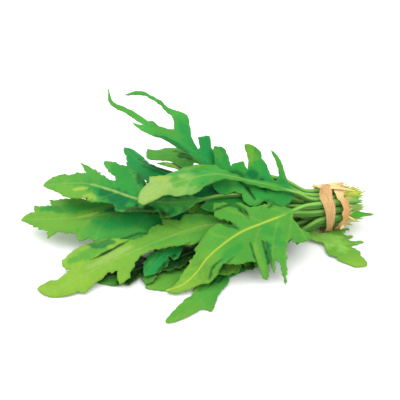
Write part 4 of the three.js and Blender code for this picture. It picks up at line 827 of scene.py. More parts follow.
def slot_place(row, place):
    """Middle of a slot in the tie, as y and z"""
    return (place - (ROW_COUNTS[row] - 1) / 2) * STEM_PITCH, REST_HEIGHT + ROW_RISE * row


def smooth_curve(knots, steps):
    """Points along a smooth curve through the knots, and how far along it each one is"""
    runs = np.diff(knots, axis=0)
    spans = np.linalg.norm(runs, axis=1)
    units = runs / spans[:, None]
    weight = (spans[:-1] / (spans[:-1] + spans[1:]))[:, None]
    slopes = np.vstack([units[:1], units[:-1] * (1 - weight) + units[1:] * weight, units[-1:]])
    t = np.linspace(0, 1, steps, endpoint=False)[:, None]
    points = np.vstack([
        (2 * t**3 - 3 * t**2 + 1) * knots[i] + (t**3 - 2 * t**2 + t) * spans[i] * slopes[i]
        + (3 * t**2 - 2 * t**3) * knots[i + 1] + (t**3 - t**2) * spans[i] * slopes[i + 1]
        for i in range(len(spans))
    ] + [knots[-1:]])
    lengths = np.append(0, np.cumsum(np.linalg.norm(np.diff(points, axis=0), axis=1)))
    return points, lengths


def rib_curve(leaf):
    """The midrib from the cut end to the tip"""
    y, z = slot_place(*leaf["slot"])
    end = leaf["cut"] + FRAY_OUT
    cut = (end, y * (1 + CUT_SPLAY), z + (z - PACK_MIDDLE) * CUT_SPLAY)
    knots = np.array([cut, *[(x, y, z) for x in STRAIGHT], *leaf["path"]], float)
    points, lengths = smooth_curve(knots, CURVE_STEPS)
    return {"points": points, "lengths": lengths, "total": lengths[-1], "end": end,
        "start": end + leaf["blade"]}


def rib_point(rib, s):
    return np.stack([np.interp(s, rib["lengths"], rib["points"][:, k]) for k in range(3)], -1)


def rib_radius(rib, s):
    """Radius of the stem and rib at a distance from the cut end"""
    taper_from = min(TAPER_FROM + FRAY_OUT, rib["start"] - TAPER_LENGTH)
    stem = STEM_RADIUS + (BLADE_RIB_RADIUS - STEM_RADIUS) * ease(taper_from, rib["start"], s)
    share = np.clip((s - rib["start"]) / (rib["total"] - rib["start"]), 0, 1) ** RIB_THINNING
    blade = BLADE_RIB_RADIUS + (RIB_END_RADIUS - BLADE_RIB_RADIUS) * share
    return np.where(s < rib["start"], stem, blade)


def side_outline(leaf, rib, which, random):
    """One side of the blade from foot to tip, as (along, width), and its lobe tips and notches"""
    length = rib["total"] - rib["start"]
    edge = np.array(leaf["front"] if which == 0 else leaf["back"], float)
    corners = np.column_stack([
        rib["start"] + edge[:, 0] * length,
        edge[:, 1] + RIB_SIDE * RIB_END_RADIUS,
    ])
    foot = [rib["start"], EDGE_SHARE * BLADE_RIB_RADIUS]
    knots = np.vstack([foot, corners, [rib["total"], 0]])
    points = []
    for a, b in zip(knots[:-1], knots[1:]):
        run = b - a
        reach = np.hypot(*run)
        count = max(1, round(reach / OUTLINE_STEP))
        t = np.arange(count) / count
        bulge = min(EDGE_BULGE, BULGE_SHARE * reach) * np.sin(np.pi * t)
        outward = np.array([-run[1], run[0]]) / reach
        points.append(a + t[:, None] * run + bulge[:, None] * outward)
    line = np.vstack(points + [knots[-1:]])
    for _ in range(ROUND_PASSES):
        before = line[1:-1] - line[:-2]
        after = line[2:] - line[1:-1]
        turn = before[:, 0] * after[:, 1] - before[:, 1] * after[:, 0]
        share = np.where(turn > 0, ROUND_NOTCH, ROUND_TIP)[:, None]
        line[1:-1] += share * (after - before) / 2
    slope = unit(line[2:] - line[:-2])
    run = np.append(0, np.cumsum(np.hypot(*np.diff(line, axis=0).T)))[1:-1] / TOOTH_SPAN
    sizes = random.uniform(0, 1, int(run[-1]) + 2) ** 2
    size = TOOTH_SIZE * (SMOOTH_TEETH if leaf["name"] in SMOOTH else 1)
    teeth = size * sizes[run.astype(int)] * ((run % 1) ** TOOTH_SLANT - TOOTH_ROOT)
    wobble = EDGE_WOBBLE * random.normal(0, 1, len(run))
    stir = (teeth * ease(*TEETH_FROM, line[1:-1, 1]) + wobble)[:, None]
    line[1:-1] += stir * np.column_stack([-slope[:, 1], slope[:, 0]])
    line[:, 1] = np.maximum(line[:, 1], LEAST_WIDTH)
    line[-1, 1] = 0
    return line, knots


def lobe_veins(rib, knots, line):
    """Veins from the rib into each lobe, as lines of (along, width)"""
    width = knots[:, 1]
    veins = []
    for i in range(1, len(knots) - 1):
        if width[i] < width[i - 1] or width[i] <= width[i + 1] or width[i] < LEAST_LOBE:
            continue
        before = i - 1
        while before > 0 and width[before - 1] < width[before]:
            before -= 1
        after = i + 1
        while after < len(knots) - 1 and width[after + 1] < width[after]:
            after += 1
        root = (knots[before, 0] + knots[after, 0]) / 2
        foot = max(rib["start"] + VEIN_FOOT, min(root, knots[i, 0]) - VEIN_LEAN * width[i])
        ends = np.array([[foot, 0], [root, VEIN_LEAN * width[i]], knots[i]])
        count = max(4, round(np.hypot(*(ends[2] - ends[0])) / VEIN_STEP))
        t = (VEIN_REACH * np.arange(1, count + 1) / count)[:, None]
        curve = (1 - t) ** 2 * ends[0] + 2 * t * (1 - t) * ends[1] + t**2 * ends[2]
        curve = curve[curve[:, 1] > VEIN_CLEAR * rib_radius(rib, curve[:, 0])]
        if len(curve) > 2:
            veins.append(curve)
    return veins


def inside(loop, spots):
    """True for the spots that lie inside a flat closed loop"""
    x0, y0 = loop[:, 0], loop[:, 1]
    x1, y1 = np.roll(x0, -1), np.roll(y0, -1)
    result = np.zeros(len(spots), bool)
    for part in np.array_split(np.arange(len(spots)), max(1, len(spots) // CHUNK)):
        x, y = spots[part, 0][:, None], spots[part, 1][:, None]
        spans = (y0 > y) != (y1 > y)
        with np.errstate(divide="ignore", invalid="ignore"):
            crossing = x < (x1 - x0) * (y - y0) / (y1 - y0) + x0
        result[part] = (spans & crossing).sum(1) % 2 == 1
    return result


def nearest(spots, marks):
    """Distance from each spot to the nearest mark"""
    found = np.full(len(spots), np.inf)
    for part in np.array_split(np.arange(len(spots)), max(1, len(spots) // CHUNK)):
        gaps = spots[part][:, None] - marks[None]
        found[part] = np.sqrt((gaps**2).sum(2).min(1))
    return found


def clear_spots(spots, taken):
    """The spots that are not close to a point that is already taken"""
    low = np.minimum(spots.min(0), taken.min(0)) - 2 * CLEAR_CELL
    size = ((np.maximum(spots.max(0), taken.max(0)) - low) / CLEAR_CELL).astype(int) + 3
    filled = np.zeros(size, bool)
    cells = ((taken - low) / CLEAR_CELL).astype(int)
    for i in (-1, 0, 1):
        for j in (-1, 0, 1):
            filled[cells[:, 0] + i, cells[:, 1] + j] = True
    cells = ((spots - low) / CLEAR_CELL).astype(int)
    return spots[~filled[cells[:, 0], cells[:, 1]]]


def frayed_end(radius, random):
    """Ragged outline of a torn stem end, from one side of the stem to the other"""
    count = 2 * FRAY_TEETH + 1
    across = np.linspace(-1, 1, count) * radius
    across[1:-1] += random.uniform(-FRAY_SHIFT, FRAY_SHIFT, count - 2) * radius
    reach = np.where(np.arange(count) % 2 == 1, random.uniform(*FRAY_TIPS, count),
        random.uniform(*FRAY_NOTCHES, count))
    reach[1 + 2 * random.integers(FRAY_TEETH)] = 0
    reach[[0, -1]] = 1
    across[[0, -1]] *= EDGE_SHARE
    corners = np.column_stack([FRAY_LENGTH * reach, across])
    points = []
    for a, b in zip(corners[:-1], corners[1:]):
        steps = max(1, round(np.hypot(*(b - a)) / FRAY_STEP))
        points.append(a + np.arange(steps)[:, None] / steps * (b - a))
    return np.vstack(points + [corners[-1:]])


def flat_leaf(leaf, rib, random):
    """The leaf laid out flat: spots (along, across), triangles, outline and veins"""
    spots = []
    creases = []

    def add_line(line, crease):
        first = sum(len(part) for part in spots)
        spots.append(line)
        if crease:
            creases.extend((first + k, first + k + 1) for k in range(len(line) - 1))

    count = round((rib["start"] - FRAY_LENGTH) / STEM_STEP)
    stem = np.linspace(FRAY_LENGTH, rib["start"], count + 1)
    sides = []
    veins = []
    for which, sign in ((0, 1), (1, -1)):
        line, knots = side_outline(leaf, rib, which, random)
        sides.append(np.column_stack([line[:, 0], sign * line[:, 1]]))
        for vein in lobe_veins(rib, knots, line):
            veins.append(np.column_stack([vein[:, 0], sign * vein[:, 1]]))
    radius = rib_radius(rib, stem)
    loop = np.vstack([
        frayed_end(radius[0], random),
        np.column_stack([stem[1:-1], EDGE_SHARE * radius[1:-1]]),
        sides[0],
        sides[1][-2::-1],
        np.column_stack([stem[1:-1], -EDGE_SHARE * radius[1:-1]])[::-1],
    ])
    add_line(loop, True)
    creases.append((len(loop) - 1, 0))
    for angle in STEM_COLUMNS:
        add_line(np.column_stack([stem, radius * math.sin(math.radians(angle))]), True)
    rib_end = rib["total"] - RIB_END_GAP
    along = np.arange(rib["start"] + RIB_STEP, rib_end, RIB_STEP)
    for share in RIB_COLUMNS:
        add_line(np.column_stack([along, share * rib_radius(rib, along)]), True)
    veins = [vein[inside(loop, vein)] for vein in veins]
    veins = [vein for vein in veins if len(vein) > 2]
    for vein in veins:
        add_line(vein, True)
        slope = unit(np.gradient(vein, axis=0))
        beside = VEIN_WIDTH * np.column_stack([-slope[:, 1], slope[:, 0]])
        for side in (vein + beside, vein - beside):
            add_line(side[inside(loop, side)], False)
    step = HIDDEN_STEP if leaf["name"] in HIDDEN else BLADE_STEP
    reach = np.abs(loop[:, 1]).max()
    rows = np.append(np.arange(0, FRAY_LENGTH, FRAY_STEP), np.arange(rib["start"], rib["total"], step))
    s, k = np.meshgrid(rows, np.arange(-HALF_ROWS, HALF_ROWS + 1), indexing="ij")
    grid = np.column_stack([(s + step / 2 * (k % 2)).ravel(), (k * step * ROW_SHARE).ravel()])
    grid = grid[np.abs(grid[:, 1]) < reach]
    grid = grid + random.uniform(-GRID_STIR, GRID_STIR, grid.shape) * step
    taken = np.vstack(spots)
    grid = clear_spots(grid[inside(loop, grid)], taken)
    points = np.vstack([taken, grid])
    found = delaunay_2d_cdt([Vector(p) for p in points], creases, [], 0, MERGE_GAP)
    flat = np.array([tuple(p) for p in found[0]])
    faces = np.array([tuple(f) for f in found[2]])
    faces = faces[inside(loop, flat[faces].mean(1))]
    used, faces = np.unique(faces, return_inverse=True)
    flat = flat[used]
    faces = faces.reshape(-1, 3)
    a, b, c = (flat[faces[:, k]] for k in range(3))
    area = (b[:, 0] - a[:, 0]) * (c[:, 1] - a[:, 1]) - (c[:, 0] - a[:, 0]) * (b[:, 1] - a[:, 1])
    faces = np.where((area < 0)[:, None], faces[:, ::-1], faces)
    return {"spots": flat, "faces": faces, "loop": loop, "veins": veins}


def pattern(spots, random, size):
    """Smooth uneven pattern about zero, with patches of about that size"""
    value = np.zeros(len(spots))
    for _ in range(PATTERN_WAVES):
        angle = random.uniform(0, 2 * math.pi)
        length = size * random.uniform(*PATTERN_SPREAD)
        shift = random.uniform(0, 2 * math.pi)
        run = spots[:, 0] * math.cos(angle) + spots[:, 1] * math.sin(angle)
        value += np.sin(2 * math.pi * run / length + shift)
    return value / PATTERN_WAVES**0.5


def layered(spots, random, layers):
    """Sum of uneven patterns, from layers of (size, strength)"""
    return sum(strength * pattern(spots, random, size) for size, strength in layers)


def leaf_marks(rib, flat, random):
    """Facts about each spot that shape and paint use: veins, edge, share along the blade"""
    spots = flat["spots"]
    s, across = spots.T
    radius = rib_radius(rib, s)
    rib_mark = np.exp(-(across / (RIB_WIDTH * radius)) ** 2)
    vein_gap = np.abs(across)
    vein_mark = np.zeros(len(spots))
    if flat["veins"]:
        lines = np.vstack(flat["veins"])
        gap = nearest(spots, lines)
        vein_gap = np.minimum(vein_gap, gap)
        vein_mark = np.exp(-(gap / VEIN_WIDTH) ** 2)
    edge_gap = nearest(spots, flat["loop"])
    share = (s - rib["start"]) / (rib["total"] - rib["start"])
    blade = ease(rib["start"] - FLATTEN_LENGTH / 2, rib["start"] + FLATTEN_LENGTH / 2, s)
    puff = (1 - np.exp(-(vein_gap / PUFF_WIDTH) ** 2)) * ease(0, PUFF_EDGE, edge_gap)
    margin = 1 - ease(0, EDGE_WIDTH, edge_gap)
    relief = PUFF_HEIGHT * puff - VEIN_DIP * vein_mark
    relief = relief + EDGE_RIPPLE * margin * pattern(spots, random, RIPPLE_SIZE)
    relief = relief + SWELL_HEIGHT * pattern(spots, random, SWELL_SIZE) * ease(*SWELL_FROM, np.abs(across))
    return {"rib": rib_mark, "vein": vein_mark, "edge_gap": edge_gap, "share": share, "blade": blade,
        "relief": relief * blade, "radius": radius}


def middle_surface(leaf, rib, flat, marks):
    """Place of every spot of the blade's middle surface before it is laid"""
    s, across = flat["spots"].T
    centre = rib_point(rib, s)
    ahead = rib_point(rib, np.minimum(rib["total"], s + 1))
    along = unit(ahead - rib_point(rib, np.maximum(0, s - 1)))
    level = unit(np.column_stack([-along[:, 1], along[:, 0], np.zeros(len(s))]))
    upright = np.cross(along, level)
    share = np.maximum(0, marks["share"])
    opened = ease(rib["start"] - FLATTEN_LENGTH, rib["start"] + FLATTEN_LENGTH, s)
    loose = np.clip(1 - s / FRAY_LENGTH, 0, 1)
    roll = (leaf["roll"][0] + (leaf["roll"][1] - leaf["roll"][0]) * share) * opened
    roll = np.radians(roll + rib["twist"] * loose)[:, None]
    side = level * np.cos(roll) - upright * np.sin(roll)
    normal = upright * np.cos(roll) + level * np.sin(roll)
    back = across <= 0
    width = np.abs(across)
    fold = np.where(back, leaf["fold"][1], leaf["fold"][0])
    curl = np.where(back, leaf["curl"][1], leaf["curl"][0])
    bend = np.radians((fold + curl * width / CURL_WIDTH) * opened)
    wave = leaf["wave"] * (width / CURL_WIDTH) ** WAVE_GROWTH
    wave = wave * np.sin(2 * math.pi * (s - FRAY_OUT) / WAVE_LENGTH + back * WAVE_SHIFT + leaf["cut"])
    rise = wave - width * np.sin(bend) + marks["relief"]
    rise = rise + FRAY_RISE * loose * np.sin(FRAY_WAVE * across + rib["twist"])
    return centre + side * (across * np.cos(bend))[:, None] + normal * rise[:, None]


def half_thickness(rib, flat, marks):
    """How far the upper and the lower face are from the middle surface"""
    s, across = flat["spots"].T
    radius = marks["radius"]
    flatness = ease(rib["start"] - FLATTEN_LENGTH, rib["start"], s)
    tube = np.sqrt(np.maximum(radius**2 - across**2, (STEM_EDGE * radius) ** 2))
    tube = FRAY_THICK + (tube - FRAY_THICK) * ease(0, FRAY_LENGTH + FRAY_FADE, s)
    bump = marks["rib"] * (1 - ease(rib["total"] - RIB_END_FADE, rib["total"], s)) * radius
    above = HALF_BLADE + RIDGE * bump
    below = HALF_BLADE + KEEL * bump + VEIN_KEEL * marks["vein"]
    return tube + (above - tube) * flatness, tube + (below - tube) * flatness


def skins(middle, faces, above, below):
    """Upper and lower points of every spot"""
    a, b, c = (middle[faces[:, k]] for k in range(3))
    face_normals = np.cross(b - a, c - a)
    normals = np.zeros_like(middle)
    for k in range(3):
        for axis in range(3):
            normals[:, axis] += np.bincount(faces[:, k], face_normals[:, axis], len(middle))
    normals = unit(normals)
    return middle + normals * above[:, None], middle - normals * below[:, None]


pile_shape = (round(PILE_SIZE[0] / PILE_CELL), round(PILE_SIZE[1] / PILE_CELL))
pile = np.zeros(pile_shape[0] * pile_shape[1])


def pile_cell(points):
    column = ((points[:, 0] - PILE_LOW[0]) / PILE_CELL).astype(int)
    return column * pile_shape[1] + ((points[:, 1] - PILE_LOW[1]) / PILE_CELL).astype(int)


def over_faces(values, faces):
    """Values at the corners and at four places inside each triangle"""
    a, b, c = (values[faces[:, k]] for k in range(3))
    inner = [(a + b + c) / 3] + [(4 * p + q + r) / 6 for p, q, r in ((a, b, c), (b, c, a), (c, a, b))]
    return np.vstack([values] + inner)


def window_values(grid, reach, highest):
    """Highest or mean value in a window along the grid's first axis"""
    count = len(grid)
    places = np.arange(count)
    total = np.zeros_like(grid)
    for k in range(-reach.max(), reach.max() + 1):
        seen = grid[np.clip(places + k, 0, count - 1)] * (abs(k) <= reach)[:, None]
        total = np.maximum(total, seen) if highest else total + seen
    return total if highest else total / (2 * reach + 1)[:, None]


def soften(need, first_soft):
    """Spread the highest needs over their neighbours and smooth them, less so near the tie"""
    columns, rows = need.shape
    room = np.maximum(0, np.arange(columns) - first_soft) * SOFT_GROWTH
    reach = np.minimum(SOFT_ALONG // LEAF_CELL, room.astype(int))
    reach_across = np.full(rows, SOFT_ACROSS // LEAF_CELL)
    for highest in (True, False):
        need = window_values(need, reach, highest)
        need = window_values(need.T, reach_across, highest).T
    return need


def lift_at(lift, spots):
    """The lift at flat spots, read smoothly from its grid"""
    u = np.clip(spots[:, 0] / LEAF_CELL, 0, lift.shape[0] - LAST_CELL)
    v = np.clip((spots[:, 1] + LEAF_HALF_SPAN) / LEAF_CELL, 0, lift.shape[1] - LAST_CELL)
    i, j = u.astype(int), v.astype(int)
    du, dv = u - i, v - j
    low = lift[i, j] * (1 - du) + lift[i + 1, j] * du
    high = lift[i, j + 1] * (1 - du) + lift[i + 1, j + 1] * du
    return low * (1 - dv) + high * dv


def lay_leaf(leaf, rib, flat, marks):
    """Lay a leaf on the pile: raise it smoothly until nothing of it is in what lies below"""
    faces = flat["faces"]
    middle = middle_surface(leaf, rib, flat, marks)
    above, below = half_thickness(rib, flat, marks)
    spread = over_faces(flat["spots"], faces)
    columns = math.ceil(rib["total"] / LEAF_CELL) + 2
    rows = round(2 * LEAF_HALF_SPAN / LEAF_CELL)
    cells = (np.rint(spread[:, 0] / LEAF_CELL).astype(int) * rows
        + np.rint((spread[:, 1] + LEAF_HALF_SPAN) / LEAF_CELL).astype(int))
    first_soft = round((rib["end"] + SOFT_START) / LEAF_CELL)
    free = spread[:, 0] > rib["end"] + TIED_LENGTH
    need = np.zeros((columns, rows))
    for _ in range(LAY_PASSES):
        lift = soften(need, first_soft)
        laid = middle.copy()
        laid[:, 2] += lift_at(lift, flat["spots"])
        upper, lower = skins(laid, faces, above, below)
        reached = np.maximum(need.ravel()[cells], lift_at(lift, spread))
        wanted = need.ravel().copy()
        worst = 0
        for skin in (lower, upper):
            points = over_faces(skin, faces)
            ground = pile[pile_cell(points)]
            lack = ground + LEAF_GAP * (ground > 0) - points[:, 2]
            short = (lack > 0) & free
            np.maximum.at(wanted, cells[short], (reached + lack)[short])
            worst = max(worst, lack[free].max())
        need = wanted.reshape(columns, rows)
        if worst < LAID_WELL:
            break
    for skin in (upper, lower):
        points = over_faces(skin, faces)
        np.maximum.at(pile, pile_cell(points), points[:, 2])
    return upper, lower


def line_gap(spots, line):
    """Every spot's distance from a line of straight pieces, and how far along the line it is"""
    gap = np.full(len(spots), np.inf)
    along = np.zeros(len(spots))
    before = 0
    for start, end in zip(line[:-1], line[1:]):
        run = end - start
        reach = np.hypot(*run)
        t = np.clip((spots - start) @ run / reach**2, 0, 1)
        here = np.linalg.norm(spots - start - t[:, None] * run, axis=1)
        along = np.where(here < gap, before + t * reach, along)
        gap = np.minimum(gap, here)
        before += reach
    return gap, along / before


def painted_marks(colour, leaf, rib, spots, random):
    """Colour with this leaf's painted marks over it: colour patches, painted shade and painted highlights,
    uneven ones that thin out at both ends
    """
    length = rib["total"] - rib["start"]
    stir = layered(spots, random, MARK_LAYERS)
    for name, strength, half, points in MARKS.get(leaf["name"], []):
        line = np.array([(rib["start"] + share * length, across) for share, across in points])
        gap, along = line_gap(spots, line)
        width = half * (MARK_WIDEST - MARK_TAPER * (2 * along - 1) ** 2 + MARK_STIR * stir)
        edge = MARK_EDGE + MARK_SOFTNESS * half
        cover = strength * (1 - ease(width - edge, width + edge, gap))[:, None]
        colour = blend(colour, tone(name), cover)
    return colour


def leaf_paint(leaf, rib, flat, marks, random):
    """Colour of every spot on the upper and the lower face"""
    spots = flat["spots"]
    s = spots[:, 0]
    # the tones from foot to tip, whose darker feet are partly painted shade inside the bunch
    names = leaf["tones"].split()
    stops = np.array([tone(name) for name in names])
    at = np.clip(marks["share"] + layered(spots, random, DRIFT_LAYERS), 0, 1)
    places = np.linspace(0, 1, len(names))
    colour = np.column_stack([np.interp(at, places, stops[:, k]) for k in range(3)])
    colour = colour * (1 + layered(spots, random, LIGHT_LAYERS))[:, None]
    colour = painted_marks(colour, leaf, rib, spots, random)
    margin = 1 - ease(0, MARGIN_WIDTH, marks["edge_gap"])
    colour = blend(colour, tone("lime"), MARGIN_SHARE * margin[:, None])
    cut_share = (1 - ease(*CUT_FADE, s))[:, None]
    stem = blend(blend(stops[0], tone("stem"), STEM_SHARE), tone(leaf["end_tone"]), cut_share)
    # painted shade: darker sides of the round stems, and a dark band where they pass through the tie
    flank = STEM_SHADE * ease(*FLANK, np.abs(spots[:, 1]) / marks["radius"])[:, None]
    begin, end = leaf["cut"], leaf["cut"] + BETWEEN_EDGE
    between = ease(begin - BETWEEN_EDGE, begin, s) * (1 - ease(end, end + BETWEEN_EDGE, s))
    flank = np.maximum(flank * (1 - cut_share), BETWEEN_SHADE * between[:, None])
    stem = blend(stem, tone("bottle"), flank)
    colour = blend(colour, stem, (1 - marks["blade"])[:, None])
    strength = STRONG_RIB if leaf["rib_tone"] == "yellow" else FAINT_RIB
    line = np.exp(-(spots[:, 1] / (RIB_LINE * marks["radius"])) ** 2) * ease(*RIB_FROM, marks["share"])
    rib_share = (strength * line)[:, None]
    vein_share = VEIN_SHARE * marks["vein"][:, None]
    under = blend(colour, tone("pale"), UNDER_SHARE)
    upper, lower = (
        blend(blend(face, rib_tone, rib_share), rib_tone, vein_share)
        for face, rib_tone in ((colour, tone(leaf["rib_tone"])), (under, tone("pale")))
    )
    return upper, lower


def make_mesh(name, points, faces, attributes):
    """A mesh object from millimetres in the bunch's frame, with its named attributes"""
    mesh = bpy.data.meshes.new(name)
    placed = (points + np.array([BUNCH_X, 0, 0])) * MM
    mesh.from_pydata(placed.tolist(), [], faces)
    for key, values in attributes.items():
        kind = {1: "FLOAT", 3: "FLOAT_VECTOR", 4: "FLOAT_COLOR"}[values.shape[1]]
        field = {1: "value", 3: "vector", 4: "color"}[values.shape[1]]
        mesh.attributes.new(key, kind, "POINT").data.foreach_set(
            field, values.astype(np.float32).ravel())
    mesh.shade_smooth()
    made = bpy.data.objects.new(name, mesh)
    bpy.context.scene.collection.objects.link(made)
    return made


def closed_faces(faces, count):
    """Faces of a thin closed body: upper, lower turned over, and walls along the open edges"""
    edges = np.vstack([faces[:, [0, 1]], faces[:, [1, 2]], faces[:, [2, 0]]])
    keys = edges[:, 0] * count + edges[:, 1]
    twins = edges[:, 1] * count + edges[:, 0]
    border = edges[~np.isin(keys, twins)]
    a, b = border.T
    walls = np.vstack([np.column_stack([b, a, a + count]), np.column_stack([b, a + count, b + count])])
    return np.vstack([faces, faces[:, ::-1] + count, walls])


def with_alpha(colours):
    return np.column_stack([colours, np.ones(len(colours))])


def make_leaf(index, leaf, material):
    """Shape, lay and paint one leaf, and add it to the scene"""
    random = np.random.default_rng(LEAF_SEED + index)
    rib = rib_curve(leaf)
    rib["twist"] = random.uniform(-FRAY_TWIST, FRAY_TWIST)
    flat = flat_leaf(leaf, rib, random)
    marks = leaf_marks(rib, flat, random)
    skin_pair = lay_leaf(leaf, rib, flat, marks)
    colours = leaf_paint(leaf, rib, flat, marks, random)
    count = len(flat["spots"])
    place = np.column_stack([flat["spots"] * MM, np.full(count, LEAF_SHIFT * index)])
    name = leaf["name"].removeprefix("leaf_") + "_leaf"
    made = make_mesh(name, np.vstack(skin_pair), closed_faces(flat["faces"], count).tolist(), {
        "tone": with_alpha(np.clip(np.vstack(colours), 0, 1)),
        "place": np.tile(place, (2, 1)),
        "blade": np.tile(marks["blade"], 2)[:, None],
    })
    made.data.materials.append(material)
    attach(made, "root")
    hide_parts(leaf["name"])


def new_material(name):
    """A new material with nodes, and its shader"""
    material = bpy.data.materials.new(name)
    material.use_nodes = True
    return material, material.node_tree.nodes["Principled BSDF"]


def add_node(material, kind, values, **settings):
    """A new node of a material, with its settings, and a number or a link for its inputs"""
    node = material.node_tree.nodes.new("ShaderNode" + kind)
    for key, value in settings.items():
        setattr(node, key, value)
    for key, value in values.items():
        if isinstance(value, bpy.types.NodeSocket):
            material.node_tree.links.new(value, node.inputs[key])
        else:
            node.inputs[key].default_value = value
    return node


def attribute(material, name, output):
    """What a mesh says at each point, by the attribute's name"""
    return add_node(material, "Attribute", {}, attribute_name=name).outputs[output]


def grain_of(material, scale, detail, place):
    """Fine noise over a skin"""
    return add_node(material, "TexNoise", {"Scale": scale, "Detail": detail, "Vector": place}).outputs["Fac"]


def product(material, first, second):
    """One value times another, each a link or a number"""
    node = add_node(material, "Math", {0: first, 1: second}, operation="MULTIPLY")
    return node.outputs["Value"]


def grained_tones(material, grain, strengths):
    """The painted tones, made darker and lighter by the grain"""
    strength = add_node(material, "MapRange", {"Value": grain, "From Min": GRAIN_SPAN[0],
        "From Max": GRAIN_SPAN[1], "To Min": strengths[0], "To Max": strengths[1]})
    mix = add_node(material, "Mix", {"Factor": 1, "A": attribute(material, "tone", "Color"),
        "B": strength.outputs["Result"]}, data_type="RGBA", blend_type="MULTIPLY")
    return mix.outputs["Result"]


def relief_and_sheen(material, shader, height, strength, grain, roughness):
    """Fine relief of a skin, and a roughness that changes with its grain"""
    bump = add_node(material, "Bump", {"Height": height, "Strength": strength, "Distance": BUMP_DEPTH})
    sheen = add_node(material, "MapRange", {"Value": grain, "To Min": roughness[0],
        "To Max": roughness[1]})
    material.node_tree.links.new(bump.outputs["Normal"], shader.inputs["Normal"])
    material.node_tree.links.new(sheen.outputs["Result"], shader.inputs["Roughness"])


def leaf_material(name, roughness):
    """Leaf: painted tones, fine mottling, a net of small veins and a satin skin"""
    material, shader = new_material(name)
    place = attribute(material, "place", "Vector")
    grain = grain_of(material, LEAF_GRAIN, LEAF_GRAIN_DETAIL, place)
    net = add_node(material, "TexVoronoi", {"Scale": NET_SCALE, "Vector": place},
        feature="DISTANCE_TO_EDGE")
    thread = add_node(material, "MapRange", {"Value": net.outputs["Distance"], "From Min": 0,
        "From Max": NET_WIDTH, "To Min": 1, "To Max": 0})
    on_blade = product(material, thread.outputs["Result"], attribute(material, "blade", "Fac"))
    veined = add_node(material, "Mix", {"Factor": product(material, on_blade, NET_SHARE),
        "A": grained_tones(material, grain, LEAF_GRAIN_TONES), "B": (*tone("leaf"), 1)},
        data_type="RGBA")
    material.node_tree.links.new(veined.outputs["Result"], shader.inputs["Base Color"])
    height = add_node(material, "Math", {0: grain, 1: on_blade}, operation="SUBTRACT")
    relief_and_sheen(material, shader, height.outputs["Value"], LEAF_BUMP, grain,
        (roughness - SATIN, roughness + DULL))
    shader.inputs["Specular IOR Level"].default_value = LEAF_SPECULAR
    return material


def wrap_path():
    """Path round the stems, in even steps: its angle, its place and its way out, in Y and Z"""
    degrees = np.arange(0, 360 + WRAP_STEP, WRAP_STEP)
    turned = np.column_stack([np.cos(np.radians(degrees)), np.sin(np.radians(degrees))])
    rounded = np.sign(turned) * np.abs(turned) ** (2 / WRAP_POWER)
    places = rounded * (WRAP_HALF_WIDTH, WRAP_HALF_HEIGHT)
    lowest = -PACK_HALF_HEIGHT - STEM_RADIUS - TIE_CLEARANCE
    places[:, 1] = PACK_MIDDLE + np.maximum(lowest, places[:, 1])
    run = np.append(0, np.cumsum(np.hypot(*np.diff(places, axis=0).T)))
    at = np.linspace(0, run[-1], round(run[-1] / RAFFIA_STEP), endpoint=False)
    place = np.column_stack([np.interp(at, run, values) for values in places.T])
    ahead = np.roll(place, -1, axis=0) - np.roll(place, 1, axis=0)
    outward = unit(np.column_stack([ahead[:, 1], -ahead[:, 0]]))
    return {"run": at, "angle": np.interp(at, run, degrees), "place": place, "outward": outward}


def turn_value(rows, angle, column):
    """Value of a turn at an angle, smoothly between the rows of its table"""
    value = rows[0][column]
    for before, after in zip(rows, rows[1:]):
        value = value + (after[column] - before[column]) * ease(before[0], after[0], angle)
    return value


def sweep(loops, is_ring):
    """Faces of a closed body from rows of points with the same number in each row"""
    count, size = loops.shape[:2]
    here = np.arange(count if is_ring else count - 1)[:, None] * size + np.arange(size)
    ahead = (here + size) % (count * size)
    after = np.roll(np.arange(size), -1)
    faces = np.stack([here, here[:, after], ahead[:, after], ahead], -1).reshape(-1, 4).tolist()
    if not is_ring:
        faces.append(list(range(size))[::-1])
        faces.append(list(range((count - 1) * size, count * size)))
    return faces


def pleats(u, run, count, random):
    """Folded surface of raffia between 0 and 1: ridges and sharp grooves that wander a little"""
    drift = PLEAT_DRIFT * np.sin(run / DRIFT_RUN + 3 * u + random.uniform(0, 6))
    drift = drift + PLEAT_SWAY * np.sin(run / SWAY_RUN + 5 * u)
    fold = np.abs(np.cos(math.pi * (count * (u + 1) / 2 + drift)))
    fine = 0.5 + 0.5 * np.sin(FINE_RATIO * math.pi * count * (u + 0.1 * drift) + run / 5)
    return (1 - FINE_SHARE) * fold**FOLD_SHARPNESS + FINE_SHARE * fine


def raffia_tone(height, dark, light):
    """Straw colour that is dark in the grooves and light on the ridges, as painted shade and painted light
    """
    return blend(tone(dark), tone(light), np.clip(height, 0, 1)[..., None])


